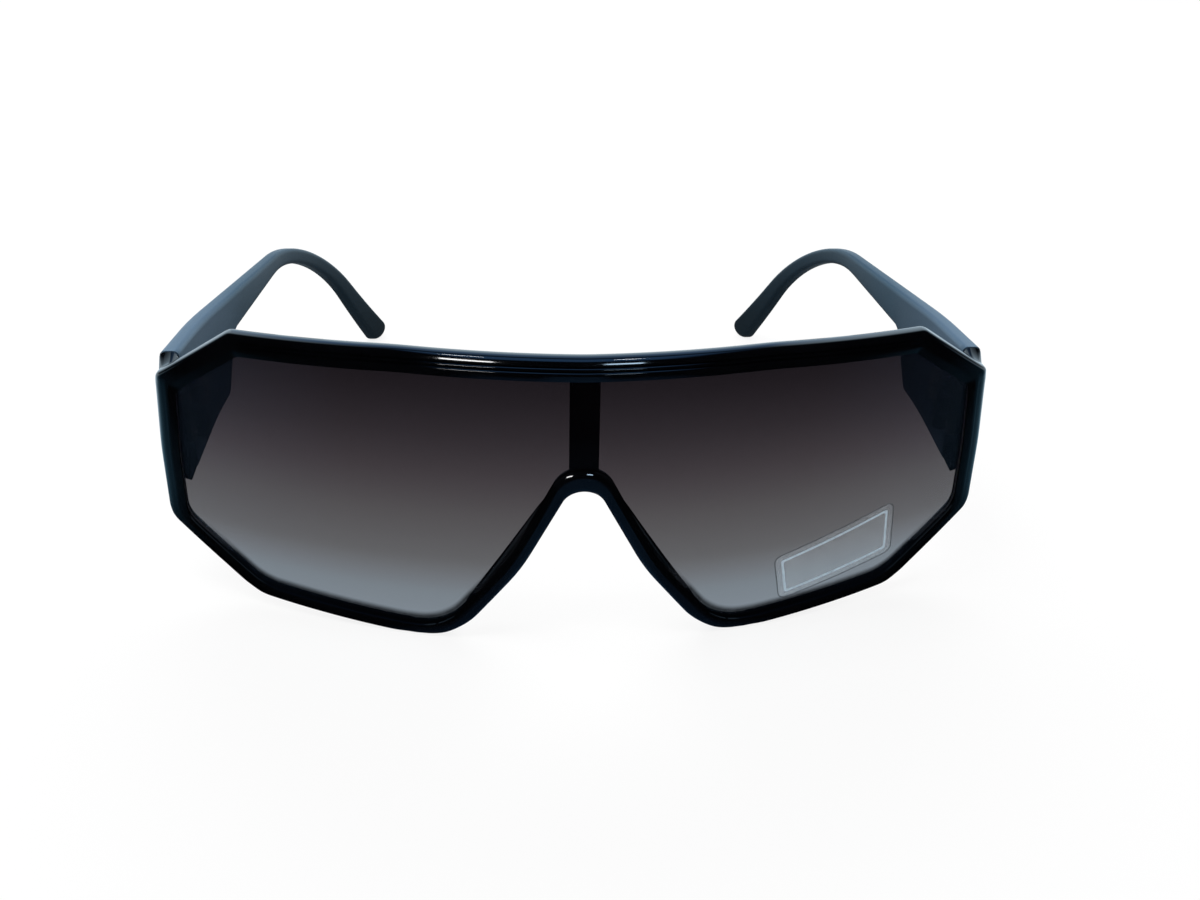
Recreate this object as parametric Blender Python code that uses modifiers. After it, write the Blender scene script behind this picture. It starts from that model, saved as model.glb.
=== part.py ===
"""One-piece shield sunglasses: a wrapped moulded front, a single lens and two folding temples.

X runs along the width, Y from the front to the back, Z up. The sunglasses stand on a table at z = 0,
on the two lower rims and the two temple tips. The front is modelled flat, with its depth along Y,
and then wrapped round the face. In the end everything moves so that the origin is below the middle.
"""
import math

import bmesh
import bpy
from mathutils import Matrix, Vector

# Front outline, measured on the flat front
HALF_WIDTH = 0.0771
FRONT_HEIGHT = 0.0573
NOSE_ARCH_HEIGHT = 0.0315
NOSE_ARCH_RADIUS = 0.0040
NOSE_FOOT_HALF = 0.0224
NOSE_FOOT_RADIUS = 0.0125
NOSE_BEND_HALF = 0.0108
NOSE_BEND_HEIGHT = 0.0152
NOSE_BEND_RADIUS = 0.0400

# Height of the brow at its middle, as a share of the front's height
BROW_MIDDLE_SHARE = 0.990

# Corners from the brow round to the lower rim: x as a share of the way from the nose foot to the
# outer end, z and radius as shares of the height
OUTLINE_SHARES = (
    (0.151, 0.998, 1.500),
    (0.664, 0.975, 0.045),
    (0.956, 0.775, 0.060),
    (0.987, 0.515, 1.500),
    (1.000, 0.265, 0.060),
    (0.710, 0.042, 0.180),
    (0.220, 0.000, 0.400),
)

# Rim widths, from the outline in to the lens opening
BROW_BAND = 0.0041
CORNER_BAND = 0.0040
SIDE_BAND = 0.0042
LOWER_BAND = 0.0031
BOTTOM_BAND = 0.0026
NOSE_BAND = 0.0032
OPENING_ARCH_RADIUS = 0.0068
OPENING_CORNER_RADIUS = 0.0040
OPENING_TOP_RADIUS = 0.0014

# Front section
FRONT_LIP = 0.0007
BACK_LIP = 0.0006
BACK_LIP_REACH = 0.0002
LENS_THICKNESS = 0.0013
LENS_SEAT = 0.0011
SEAT_CLEARANCE = 0.0003
FRONT_EDGE_BEVEL = 0.0004
BACK_EDGE_BEVEL = 0.0006
OPENING_FLARE = 0.0012
OPENING_FLARE_DEPTH = 0.0005
GROOVE_DROP = 0.0021
GROOVE_WIDTH = 0.0012
GROOVE_DEPTH = 0.0005
CENTRE_BAR_WIDTH = 0.0050
CENTRE_BAR_PROUD = 0.0006
WRAP_RADIUS = 0.1370

# Moulded nose pads on the back of the front
PAD_DEPTH = 0.0024
PAD_WIDTH = 0.0024
PAD_SPLAY_ANGLE = math.radians(8)
PAD_LOW_SHARE = 0.25
PAD_HIGH_SHARE = 0.80
PAD_END_SHARE = 0.25
PAD_CORNER_RADIUS = 0.0010
PAD_EDGE_BEVEL = 0.0007
PAD_SLICE = 0.0030

# Temples
TEMPLE_INSET = 0.0023
TEMPLE_THICKNESS = 0.0034
TEMPLE_TIP_THICKNESS = 0.0027
TEMPLE_HEIGHT = 0.0241
TEMPLE_BUTT_LOW = 0.0224
TEMPLE_DEEP_LENGTH = 0.0252
TEMPLE_STEP_RUN = 0.0074
TEMPLE_BAR_HEIGHT = 0.0078
TEMPLE_BEND_LENGTH = 0.0863
TEMPLE_BEND_HEIGHT = 0.0386
TEMPLE_BEND_RADIUS = 0.0475
TEMPLE_NECK_HEIGHT = 0.0022
TEMPLE_TIP_REACH = 0.0260
TEMPLE_TIP_WIDTH = 0.0064
TIP_ROUND_SHARE = 0.38
TEMPLE_STEP_RADIUS = 0.0040
TEMPLE_CORNER_RADIUS = 0.0010
TEMPLE_EDGE_BEVEL = 0.0007
TEMPLE_STRAIGHT = 0.0115
TEMPLE_TOE_ANGLE = math.radians(5.9)
TEMPLE_TOE_BLEND = 0.0120
TEMPLE_CURL = 0.0120
TEMPLE_CURL_START = 0.0645
TEMPLE_CURL_LENGTH = 0.0440

# End pieces and hinges
BUTT_REACH = 0.0012
BUTT_GAP = 0.0003
LUG_DEPTH = 0.0030
LUG_INSET = 0.0002
LUG_EDGE_BEVEL = 0.0003
HINGE_SHARE = 0.523
BARREL_RADIUS = 0.0015
BARREL_SET = 0.0001
KNUCKLE_LENGTH = 0.0032
KNUCKLE_GAP = 0.0003
LEAF_THICKNESS = 0.0009
TEMPLE_LEAF_LENGTH = 0.0082
TEMPLE_LEAF_HEIGHT = 0.0066
LEAF_CORNER_RADIUS = 0.0007
SCREW_RADIUS = 0.00065
SCREW_CLEARANCE = 0.00010
SCREW_HEAD_RADIUS = 0.0012
SCREW_HEAD_HEIGHT = 0.0007
SCREW_END_BEVEL = 0.00015
SCREW_SLOT_WIDTH = 0.0004
SCREW_SLOT_DEPTH = 0.0003
RIVET_RADIUS = 0.0004
RIVET_CLEARANCE = 0.0002
RIVET_HEAD_RADIUS = 0.0008
RIVET_HEAD_HEIGHT = 0.00035
RIVET_GRIP = 0.0016
TEMPLE_RIVET_PITCH = 0.0040
PIECE_GAP = 0.0003

# Wire core of each temple
CORE_RADIUS = 0.00055
CORE_DROP = 0.0058
CORE_TIP_MARGIN = 0.0080
CORE_CLEARANCE = 0.0003

# Facets
CUT_OVERRUN = 0.0010
FACET_LENGTH = 0.0060
FACET_TURN = math.radians(15)
ROUND_SIDES = 16
RIVET_SIDES = 10
WIRE_RESOLUTION = 2
WELD_DISTANCE = 0.00001
MITRE_LIMIT_SHARE = 0.5

# Sizes that follow from the ones above
RIM_DEPTH = FRONT_LIP + LENS_THICKNESS + 2 * SEAT_CLEARANCE + BACK_LIP
SLOT_BACK = RIM_DEPTH - BACK_LIP
LENS_FRONT = FRONT_LIP + SEAT_CLEARANCE
WRAP_DEPTH = HALF_WIDTH * HALF_WIDTH / (2 * WRAP_RADIUS)
BUTT_DEPTH = RIM_DEPTH + WRAP_DEPTH + BUTT_REACH
TEMPLE_OUTER_HALF = HALF_WIDTH - TEMPLE_INSET
HINGE_HEIGHT = TEMPLE_BUTT_LOW + HINGE_SHARE * TEMPLE_HEIGHT
TEMPLE_FRONT = BUTT_DEPTH + BUTT_GAP
TEMPLE_END = TEMPLE_FRONT + TEMPLE_BEND_LENGTH + TEMPLE_TIP_REACH
TEMPLE_UNDER_RADIUS = TEMPLE_BEND_RADIUS - TEMPLE_BAR_HEIGHT
TEMPLE_TIP_RADIUS = TIP_ROUND_SHARE * TEMPLE_TIP_WIDTH
TEMPLE_INNER_HALF = TEMPLE_OUTER_HALF - TEMPLE_THICKNESS
TEMPLE_MIDDLE_HALF = TEMPLE_OUTER_HALF - TEMPLE_THICKNESS / 2
LEAF_OUTER = TEMPLE_INNER_HALF - PIECE_GAP
LEAF_INNER = LEAF_OUTER - LEAF_THICKNESS
PIN_X = LEAF_OUTER - BARREL_SET - BARREL_RADIUS
PIN_Y = BUTT_DEPTH + BUTT_GAP / 2
BARREL_SWEEP = BARREL_RADIUS + PIECE_GAP
KNUCKLE_PITCH = KNUCKLE_LENGTH + KNUCKLE_GAP
HINGE_TOP = HINGE_HEIGHT + KNUCKLE_PITCH + KNUCKLE_LENGTH / 2
HINGE_FOOT = HINGE_HEIGHT - KNUCKLE_PITCH - KNUCKLE_LENGTH / 2


def clear_scene():
    """Removes whatever the scene holds."""
    for thing in list(bpy.data.objects):
        bpy.data.objects.remove(thing, do_unlink=True)


def collection(name):
    """Returns a new collection linked to the scene."""
    group = bpy.data.collections.new(name)
    bpy.context.scene.collection.children.link(group)
    return group


def material(name, colour, roughness, metallic=0.0, alpha=1.0):
    """Returns a plain Principled material."""
    made = bpy.data.materials.new(name)
    made.use_nodes = True
    shader = made.node_tree.nodes["Principled BSDF"]
    shader.inputs["Base Color"].default_value = (*colour, 1.0)
    shader.inputs["Roughness"].default_value = roughness
    shader.inputs["Metallic"].default_value = metallic
    shader.inputs["Alpha"].default_value = alpha
    made.diffuse_color = (*colour, alpha)
    return made


# Outlines


def rounded(corners):
    """Turns closed corners (u, v, radius) into points, with an arc at each corner."""
    points = []
    count = len(corners)
    for index, (u, v, radius) in enumerate(corners):
        corner = Vector((u, v))
        before = Vector(corners[index - 1][:2]) - corner
        after = Vector(corners[(index + 1) % count][:2]) - corner
        turn = math.pi - before.angle(after)
        if radius <= 0 or turn < math.radians(1):
            points.append(corner)
            continue
        reach = radius * math.tan(turn / 2)
        start = corner + before.normalized() * reach
        end = corner + after.normalized() * reach
        centre = corner + (before.normalized() + after.normalized()).normalized() * (
            radius / math.cos(turn / 2))
        steps = max(math.ceil(turn / FACET_TURN), math.ceil(radius * turn / FACET_LENGTH), 1)
        way = start - centre
        sign = 1 if way.x * (end - centre).y - way.y * (end - centre).x > 0 else -1
        for step in range(steps + 1):
            angle = sign * turn * step / steps
            points.append(centre + Vector((way.x * math.cos(angle) - way.y * math.sin(angle),
                                           way.x * math.sin(angle) + way.y * math.cos(angle))))
    return points


def is_left_turning(points):
    """Tells whether a closed outline runs anticlockwise."""
    area = sum(a[0] * b[1] - b[0] * a[1] for a, b in zip(points, points[1:] + points[:1]))
    return area > 0


def inset_corners(corners, widths):
    """Moves each edge of a closed outline in by its own width and returns the new corners.

    Edge i runs from corner i to corner i + 1. Negative widths move it out.
    """
    inward = 1 if is_left_turning([c[:2] for c in corners]) else -1
    lines = []
    for index, width in enumerate(widths):
        start = Vector(corners[index][:2])
        end = Vector(corners[(index + 1) % len(corners)][:2])
        along = (end - start).normalized()
        lines.append((start + Vector((-along.y, along.x)) * inward * width, along))
    moved = []
    for index in range(len(corners)):
        (p, a), (q, b) = lines[index - 1], lines[index]
        cross = a.x * b.y - a.y * b.x
        gap = q - p
        share = (gap.x * b.y - gap.y * b.x) / cross
        moved.append(p + a * share)
    return moved


def offset(points, distance):
    """Moves a closed outline of many points outwards by a distance."""
    outward = 1 if is_left_turning(points) else -1
    moved = []
    for index, point in enumerate(points):
        before = (point - points[index - 1]).normalized()
        after = (points[(index + 1) % len(points)] - point).normalized()
        normal = Vector((before.y + after.y, -before.x - after.x)).normalized()
        mitre = max(normal.dot(Vector((after.y, -after.x))), MITRE_LIMIT_SHARE)
        moved.append(point + normal * outward * distance / mitre)
    return moved


def mirrored_corners(half):
    """Closes a half outline, whose first and last corners lie on the middle, with its mirror image."""
    return list(half) + [(-u, v, radius) for u, v, radius in reversed(half[1:-1])]


def front_half_corners():
    """Corners of the front's right half, from the top centre round to the nose arch."""
    span = HALF_WIDTH - NOSE_FOOT_HALF
    brow_radius = OUTLINE_SHARES[0][2] * FRONT_HEIGHT
    half = [(0.0, BROW_MIDDLE_SHARE * FRONT_HEIGHT, brow_radius)]
    half += [(NOSE_FOOT_HALF + u * span, v * FRONT_HEIGHT, radius * FRONT_HEIGHT)
             for u, v, radius in OUTLINE_SHARES]
    half.append((NOSE_FOOT_HALF, 0.0, NOSE_FOOT_RADIUS))
    half.append((NOSE_BEND_HALF, NOSE_BEND_HEIGHT, NOSE_BEND_RADIUS))
    half.append((0.0, nose_peak(), NOSE_ARCH_RADIUS))
    return half


def nose_peak():
    """Height at which the nose flanks would meet, so that the arch's round top has its height."""
    low, high = NOSE_ARCH_HEIGHT, FRONT_HEIGHT
    for _ in range(60):
        peak = (low + high) / 2
        lean = math.atan2(NOSE_BEND_HALF, peak - NOSE_BEND_HEIGHT)
        if peak - NOSE_ARCH_RADIUS * (1 / math.sin(lean) - 1) > NOSE_ARCH_HEIGHT:
            high = peak
        else:
            low = peak
    return peak


def front_corners():
    """All corners of the front's outline."""
    return mirrored_corners(front_half_corners())


def opening_corners():
    """Corners of the lens opening, each edge set in by its own rim width."""
    half_widths = [BROW_BAND, BROW_BAND, CORNER_BAND, SIDE_BAND, SIDE_BAND, LOWER_BAND,
                   BOTTOM_BAND, BOTTOM_BAND, NOSE_BAND, NOSE_BAND]
    widths = half_widths + half_widths[::-1]
    outer = front_corners()
    radii = {2: OPENING_TOP_RADIUS, 3: OPENING_CORNER_RADIUS, 5: OPENING_CORNER_RADIUS,
             8: NOSE_FOOT_RADIUS - BOTTOM_BAND, 10: OPENING_ARCH_RADIUS}
    last = len(outer)
    corners = []
    for index, point in enumerate(inset_corners(outer, widths)):
        radius = radii.get(min(index, last - index), outer[index][2])
        corners.append((point.x, point.y, radius))
    return corners


def temple_corners():
    """Corners of the temple's side view (y, z, radius), from the front top round underneath."""
    front, low, top = TEMPLE_FRONT, TEMPLE_BUTT_LOW, TEMPLE_BUTT_LOW + TEMPLE_HEIGHT
    bend = Vector((front + TEMPLE_BEND_LENGTH, TEMPLE_BEND_HEIGHT))
    deep_end = front + TEMPLE_DEEP_LENGTH
    slope = (top - bend.y) / TEMPLE_BEND_LENGTH
    step_end = deep_end + TEMPLE_STEP_RUN
    bar_top = top - slope * (step_end - front)
    tip_outer = bend.x + TEMPLE_TIP_REACH
    tip_inner = tip_outer - TEMPLE_TIP_WIDTH
    under = bend.x - TEMPLE_NECK_HEIGHT
    return [
        (front, top, TEMPLE_CORNER_RADIUS),
        (bend.x, bend.y, TEMPLE_BEND_RADIUS),
        (tip_outer, 0.0, TEMPLE_TIP_RADIUS),
        (tip_inner, 0.0, TEMPLE_TIP_RADIUS),
        (under + slope * TEMPLE_NECK_HEIGHT, bend.y - TEMPLE_NECK_HEIGHT / 2, TEMPLE_UNDER_RADIUS),
        (step_end, bar_top - TEMPLE_BAR_HEIGHT, TEMPLE_STEP_RADIUS),
        (deep_end, low + slope * TEMPLE_DEEP_LENGTH, TEMPLE_STEP_RADIUS / 2),
        (front, low, TEMPLE_CORNER_RADIUS),
    ]


# Mesh helpers


def new_object(name, mesh):
    """Links a mesh as an object of the build."""
    thing = bpy.data.objects.new(name, mesh)
    bpy.context.scene.collection.objects.link(thing)
    return thing


def slab(name, points, start, end, along="Y"):
    """A flat outline, filled and extruded from start to end along Y (outline x, z) or X (outline y, z)."""
    curve = bpy.data.curves.new(name, "CURVE")
    curve.dimensions = "2D"
    curve.fill_mode = "BOTH"
    curve.extrude = (end - start) / 2
    spline = curve.splines.new("POLY")
    spline.points.add(len(points) - 1)
    for knot, point in zip(spline.points, points):
        knot.co = (point[0], point[1], 0.0, 1.0)
    spline.use_cyclic_u = True
    holder = new_object(name, curve)
    mesh = bpy.data.meshes.new_from_object(holder.evaluated_get(bpy.context.evaluated_depsgraph_get()))
    bpy.data.objects.remove(holder, do_unlink=True)
    middle = (start + end) / 2
    if along == "Y":
        mesh.transform(Matrix.Translation((0, middle, 0)) @ Matrix.Rotation(math.pi / 2, 4, "X"))
    else:
        turn = Matrix(((0, 0, 1, middle), (1, 0, 0, 0), (0, 1, 0, 0), (0, 0, 0, 1)))
        mesh.transform(turn)
    weld(mesh)
    return new_object(name, mesh)


def weld(mesh):
    """Joins a mesh's loose caps, turns flat fans into single faces and sets the faces outwards."""
    work = bmesh.new()
    work.from_mesh(mesh)
    bmesh.ops.remove_doubles(work, verts=work.verts, dist=WELD_DISTANCE)
    bmesh.ops.dissolve_limit(work, angle_limit=math.radians(0.5), verts=work.verts, edges=work.edges,
                             delimit={"NORMAL"})
    bmesh.ops.recalc_face_normals(work, faces=work.faces)
    work.to_mesh(mesh)
    work.free()


def combine(thing, other, operation):
    """Applies a Boolean of another object to a thing and removes the other object."""
    step = thing.modifiers.new(operation.lower(), "BOOLEAN")
    step.operation = operation
    step.solver = "EXACT"
    step.object = other
    view = bpy.context.evaluated_depsgraph_get()
    mesh = bpy.data.meshes.new_from_object(thing.evaluated_get(view))
    thing.modifiers.clear()
    old = thing.data
    thing.data = mesh
    bpy.data.meshes.remove(old)
    bpy.data.objects.remove(other, do_unlink=True)
    work = bmesh.new()
    work.from_mesh(mesh)
    drop_slivers(work)
    work.to_mesh(mesh)
    work.free()
    return thing


def bevel_where(thing, test, width, segments):
    """Bevels the sharp edges whose two ends pass a test on their places."""
    work = bmesh.new()
    work.from_mesh(thing.data)
    edges = [e for e in work.edges
             if e.is_manifold and e.calc_face_angle() > math.radians(40)
             and test(e.verts[0].co) and test(e.verts[1].co)]
    bmesh.ops.bevel(work, geom=edges, offset=width, offset_type="OFFSET", segments=segments,
                    profile=0.5, affect="EDGES", clamp_overlap=True)
    drop_slivers(work)
    work.to_mesh(thing.data)
    work.free()


def join_flat_faces(thing, test):
    """Joins the triangles of a flat side, whose corners all pass a test, into one face."""
    work = bmesh.new()
    work.from_mesh(thing.data)
    faces = [face for face in work.faces if all(test(vertex.co) for vertex in face.verts)]
    bmesh.ops.dissolve_faces(work, faces=faces)
    work.to_mesh(thing.data)
    work.free()


def drop_slivers(work):
    """Joins points that all but coincide and removes the faces that this flattens."""
    bmesh.ops.remove_doubles(work, verts=work.verts, dist=WELD_DISTANCE)
    bmesh.ops.dissolve_degenerate(work, edges=work.edges, dist=WELD_DISTANCE)


def near(value, target):
    """Tells whether a place lies on a plane."""
    return abs(value - target) < WELD_DISTANCE


def slice_and_bend(thing, axis, start, end, move, pitch=FACET_LENGTH):
    """Slices a flat piece across its length, so that it can bend, and moves each vertex."""
    work = bmesh.new()
    work.from_mesh(thing.data)
    count = math.ceil((end - start) / pitch)
    normal = {"X": Vector((1, 0, 0)), "Y": Vector((0, 1, 0)), "Z": Vector((0, 0, 1))}[axis]
    for step in range(1, count):
        place = start + (end - start) * step / count
        bmesh.ops.bisect_plane(work, geom=work.verts[:] + work.edges[:] + work.faces[:],
                               dist=WELD_DISTANCE, plane_co=normal * place, plane_no=normal)
    bmesh.ops.triangulate(work, faces=work.faces[:])
    for vertex in work.verts:
        vertex.co = move(vertex.co.copy())
    bmesh.ops.recalc_face_normals(work, faces=work.faces)
    work.to_mesh(thing.data)
    work.free()


def drum(name, radius, start, end, centre, axis="Z", sides=ROUND_SIDES):
    """A closed cylinder from start to end along an axis through a centre."""
    bpy.ops.mesh.primitive_cylinder_add(vertices=sides, radius=radius, depth=end - start)
    thing = bpy.context.object
    thing.name = name
    middle = (start + end) / 2
    if axis == "Z":
        place = Matrix.Translation((centre[0], centre[1], middle))
    else:
        place = Matrix.Translation((middle, centre[0], centre[1])) @ Matrix.Rotation(math.pi / 2, 4, "Y")
    thing.data.transform(place)
    return thing


def box(name, low, high):
    """A closed box between two corners."""
    bpy.ops.mesh.primitive_cube_add(size=1)
    thing = bpy.context.object
    thing.name = name
    size = Vector(high) - Vector(low)
    middle = (Vector(high) + Vector(low)) / 2
    thing.data.transform(Matrix.Translation(middle) @ Matrix.Diagonal((*size, 1)))
    return thing


def mirrored(thing, name):
    """The same piece on the other side."""
    mesh = thing.data.copy()
    mesh.transform(Matrix.Diagonal((-1, 1, 1, 1)))
    mesh.flip_normals()
    return new_object(name, mesh)


# Front


def wrap(x):
    """Depth of the front's curve at a place along its width."""
    return x * x / (2 * WRAP_RADIUS)


def wrap_front(place):
    """Takes a point of the flat front to the wrapped front, with each lug's back square to its temple."""
    behind = place.y - RIM_DEPTH
    if behind > WELD_DISTANCE and abs(place.x) > TEMPLE_INNER_HALF - LUG_DEPTH:
        share = behind / LUG_DEPTH
        y = (RIM_DEPTH + wrap(place.x)) * (1 - share) + BUTT_DEPTH * share
        return lug_to_butt(Vector((place.x, y, place.z)), share)
    return Vector((place.x, place.y + wrap(place.x), place.z))


def line_through(start, end, value):
    """Second coordinate of the line through two places, where its first has a value."""
    return start[1] + (end[1] - start[1]) * (value - start[0]) / (end[0] - start[0])


def lug_to_butt(place, share):
    """Eases a lug's slanted top up, and its side in, towards the temple's butt."""
    brow_end, corner, side_middle, side_low = front_half_corners()[2:6]
    top = TEMPLE_BUTT_LOW + TEMPLE_HEIGHT
    upper, lower = (corner, side_middle) if place.z > side_middle[1] else (side_middle, side_low)
    side = line_through(upper[1::-1], lower[1::-1], place.z)
    along = abs(place.x)
    rise = max(top - line_through(brow_end, corner, along), 0.0)
    reach = (place.z - HINGE_HEIGHT) / (top - rise - HINGE_HEIGHT)
    place.z += share * rise * min(max(reach, 0.0), 1.0)
    narrowing = 1 - TEMPLE_THICKNESS / (side - TEMPLE_INNER_HALF)
    if along > TEMPLE_INNER_HALF:
        along -= share * narrowing * (along - TEMPLE_INNER_HALF)
    return Vector((math.copysign(along, place.x), place.y, place.z))


def lug_outline():
    """The end piece behind the rim: the front's outline, cut to the temple's height and thickness."""
    outer = rounded(inset_with_radii(front_corners(), LUG_INSET))
    low, high = TEMPLE_BUTT_LOW, TEMPLE_BUTT_LOW + TEMPLE_HEIGHT
    return outer, low, high


def inset_with_radii(corners, width):
    """Insets a closed outline by one width and keeps its corners' radii."""
    moved = inset_corners(corners, [width] * len(corners))
    return [(point.x, point.y, corner[2]) for point, corner in zip(moved, corners)]


def lug(side):
    """One end piece, buried a little in the rim and as deep as the lug."""
    outer, low, high = lug_outline()
    piece = slab("lug", outer, RIM_DEPTH - BACK_LIP / 2, RIM_DEPTH + LUG_DEPTH)
    inner_x, outer_x = side * TEMPLE_INNER_HALF, side * (HALF_WIDTH + LUG_DEPTH)
    keep = box("lug_block", (min(inner_x, outer_x), 0.0, low), (max(inner_x, outer_x), BUTT_DEPTH, high))
    combine(piece, keep, "INTERSECT")
    back = RIM_DEPTH + LUG_DEPTH
    bevel_where(piece, lambda p: near(p.y, back), LUG_EDGE_BEVEL, 1)
    return piece


def pad(side):
    """One moulded nose pad, standing on the back of the nose flank."""
    foot = Vector((NOSE_FOOT_HALF, 0.0))
    bend = Vector((NOSE_BEND_HALF, NOSE_BEND_HEIGHT))
    peak = Vector((0.0, nose_peak()))
    low = foot.lerp(bend, PAD_LOW_SHARE)
    high = bend.lerp(peak, PAD_HIGH_SHARE * (NOSE_ARCH_HEIGHT - bend.y) / (peak.y - bend.y))
    inward_low = Vector((bend.y - foot.y, foot.x - bend.x)).normalized() * PAD_WIDTH
    inward_high = Vector((peak.y - bend.y, bend.x - peak.x)).normalized() * PAD_WIDTH
    inward_bend = (inward_low + inward_high) / 2
    edge = [low, bend, high]
    back = [high + inward_high, bend + inward_bend, low + inward_low]
    corners = [(side * p.x, p.y, PAD_CORNER_RADIUS) for p in edge + back]
    outline = rounded(inset_with_radii(corners, LUG_INSET))
    end = RIM_DEPTH + PAD_DEPTH
    piece = slab("pad", outline, RIM_DEPTH - BACK_LIP / 2, end)
    bevel_where(piece, lambda p: near(p.y, end), PAD_EDGE_BEVEL, 2)
    bottom, top = min(p.y for p in outline), max(p.y for p in outline)

    def arch(place):
        behind = max(place.y - RIM_DEPTH, 0.0)
        way = 2 * (place.z - bottom) / (top - bottom) - 1
        bulge = PAD_END_SHARE + (1 - PAD_END_SHARE) * math.sqrt(max(1 - way * way, 0.0))
        spread = side * math.tan(PAD_SPLAY_ANGLE) * behind * bulge
        return Vector((place.x + spread, place.y + behind * (bulge - 1), place.z))

    slice_and_bend(piece, "Z", bottom, top, arch, PAD_SLICE)
    return piece


def groove():
    """Cutter for the long groove under the brow."""
    half = front_half_corners()[:3]
    line = [Vector(c[:2]) for c in half]
    drop = Vector((0, -GROOVE_DROP))
    upper = [p + drop for p in line]
    lower = [p + drop - Vector((0, GROOVE_WIDTH)) for p in line]
    right = upper + lower[::-1]
    end_radius = GROOVE_WIDTH / 3
    radii = [0.0, half[1][2], end_radius, end_radius, half[1][2], 0.0]
    corners = [(p.x, p.y, r) for p, r in zip(right, radii)]
    return slab("groove", rounded(mirrored_corners(corners)), -CUT_OVERRUN, GROOVE_DEPTH)


def front():
    """The moulded front: rim, brow, nose arch with its pads, centre bar and end pieces in one piece."""
    outline = rounded(front_corners())
    opening = rounded(opening_corners())
    piece = slab("frame_front", outline, 0.0, RIM_DEPTH)
    bevel_where(piece, lambda p: near(p.y, 0.0), FRONT_EDGE_BEVEL, 2)
    low, high = TEMPLE_BUTT_LOW, TEMPLE_BUTT_LOW + TEMPLE_HEIGHT

    def away_from_lug(p):
        beside = abs(p.x) > TEMPLE_INNER_HALF - LUG_DEPTH and low < p.z < high
        return near(p.y, RIM_DEPTH) and not beside

    bevel_where(piece, away_from_lug, BACK_EDGE_BEVEL, 1)
    through = slab("through", offset(opening, -BACK_LIP_REACH), -CUT_OVERRUN, RIM_DEPTH + CUT_OVERRUN)
    combine(piece, through, "DIFFERENCE")
    bar_low = NOSE_ARCH_HEIGHT + NOSE_BAND / 2
    bar_high = FRONT_HEIGHT - BROW_BAND / 2
    half_bar = CENTRE_BAR_WIDTH / 2
    bar = box("bar", (-half_bar, SLOT_BACK - SEAT_CLEARANCE, bar_low),
              (half_bar, RIM_DEPTH + CENTRE_BAR_PROUD, bar_high))
    combine(piece, bar, "UNION")
    for side in (1, -1):
        combine(piece, lug(side), "UNION")
        combine(piece, pad(side), "UNION")
    mouth = slab("mouth", opening, -CUT_OVERRUN, LENS_FRONT)
    combine(piece, mouth, "DIFFERENCE")
    combine(piece, flare(opening), "DIFFERENCE")
    slot = slab("slot", offset(opening, LENS_SEAT), FRONT_LIP, SLOT_BACK)
    combine(piece, slot, "DIFFERENCE")
    combine(piece, groove(), "DIFFERENCE")
    slice_and_bend(piece, "X", -HALF_WIDTH, HALF_WIDTH, wrap_front)
    for side in (1, -1):
        join_flat_faces(piece, lambda p: near(p.x, side * TEMPLE_INNER_HALF))
        for y, z in frame_rivet_places():
            combine(piece, rivet_hole(y, z, side), "DIFFERENCE")
    return piece


def flare(opening):
    """Cutter for the long chamfer round the lens opening: narrow at its depth, wide in front."""
    piece = slab("flare", opening, -OPENING_FLARE_DEPTH, OPENING_FLARE_DEPTH)
    wide = offset(opening, 2 * OPENING_FLARE)
    for vertex in piece.data.vertices:
        if near(vertex.co.y, -OPENING_FLARE_DEPTH):
            flat = Vector((vertex.co.x, vertex.co.z))
            index = min(range(len(opening)), key=lambda i: (flat - opening[i]).length)
            vertex.co.x, vertex.co.z = wide[index]
    return piece


def lens():
    """The one-piece lens, seated in the rim's slot."""
    opening = rounded(opening_corners())
    edge = offset(opening, LENS_SEAT - SEAT_CLEARANCE)
    piece = slab("shield_lens", edge, LENS_FRONT, LENS_FRONT + LENS_THICKNESS)
    slice_and_bend(piece, "X", -HALF_WIDTH, HALF_WIDTH, wrap_front)
    return piece


# Temples


def temple_offset(along):
    """How far a temple has turned and curled inwards at a distance behind its front end."""
    past = max(0.0, along - TEMPLE_STRAIGHT)
    if past < TEMPLE_TOE_BLEND:
        toe = math.tan(TEMPLE_TOE_ANGLE) * past * past / (2 * TEMPLE_TOE_BLEND)
    else:
        toe = math.tan(TEMPLE_TOE_ANGLE) * (past - TEMPLE_TOE_BLEND / 2)
    return toe + TEMPLE_CURL * (max(0.0, along - TEMPLE_CURL_START) / TEMPLE_CURL_LENGTH) ** 2


def bend_temple(place):
    """Takes a point of the flat temple to the real one, which thins, toes in and curls at its tip."""
    along = place.y - TEMPLE_FRONT
    share = min(max((along - TEMPLE_DEEP_LENGTH) / (TEMPLE_BEND_LENGTH - TEMPLE_DEEP_LENGTH), 0.0), 1.0)
    thinning = 1 + (TEMPLE_TIP_THICKNESS / TEMPLE_THICKNESS - 1) * share
    x = TEMPLE_MIDDLE_HALF + (place.x - TEMPLE_MIDDLE_HALF) * thinning - temple_offset(along)
    return Vector((x, place.y, place.z))


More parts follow.
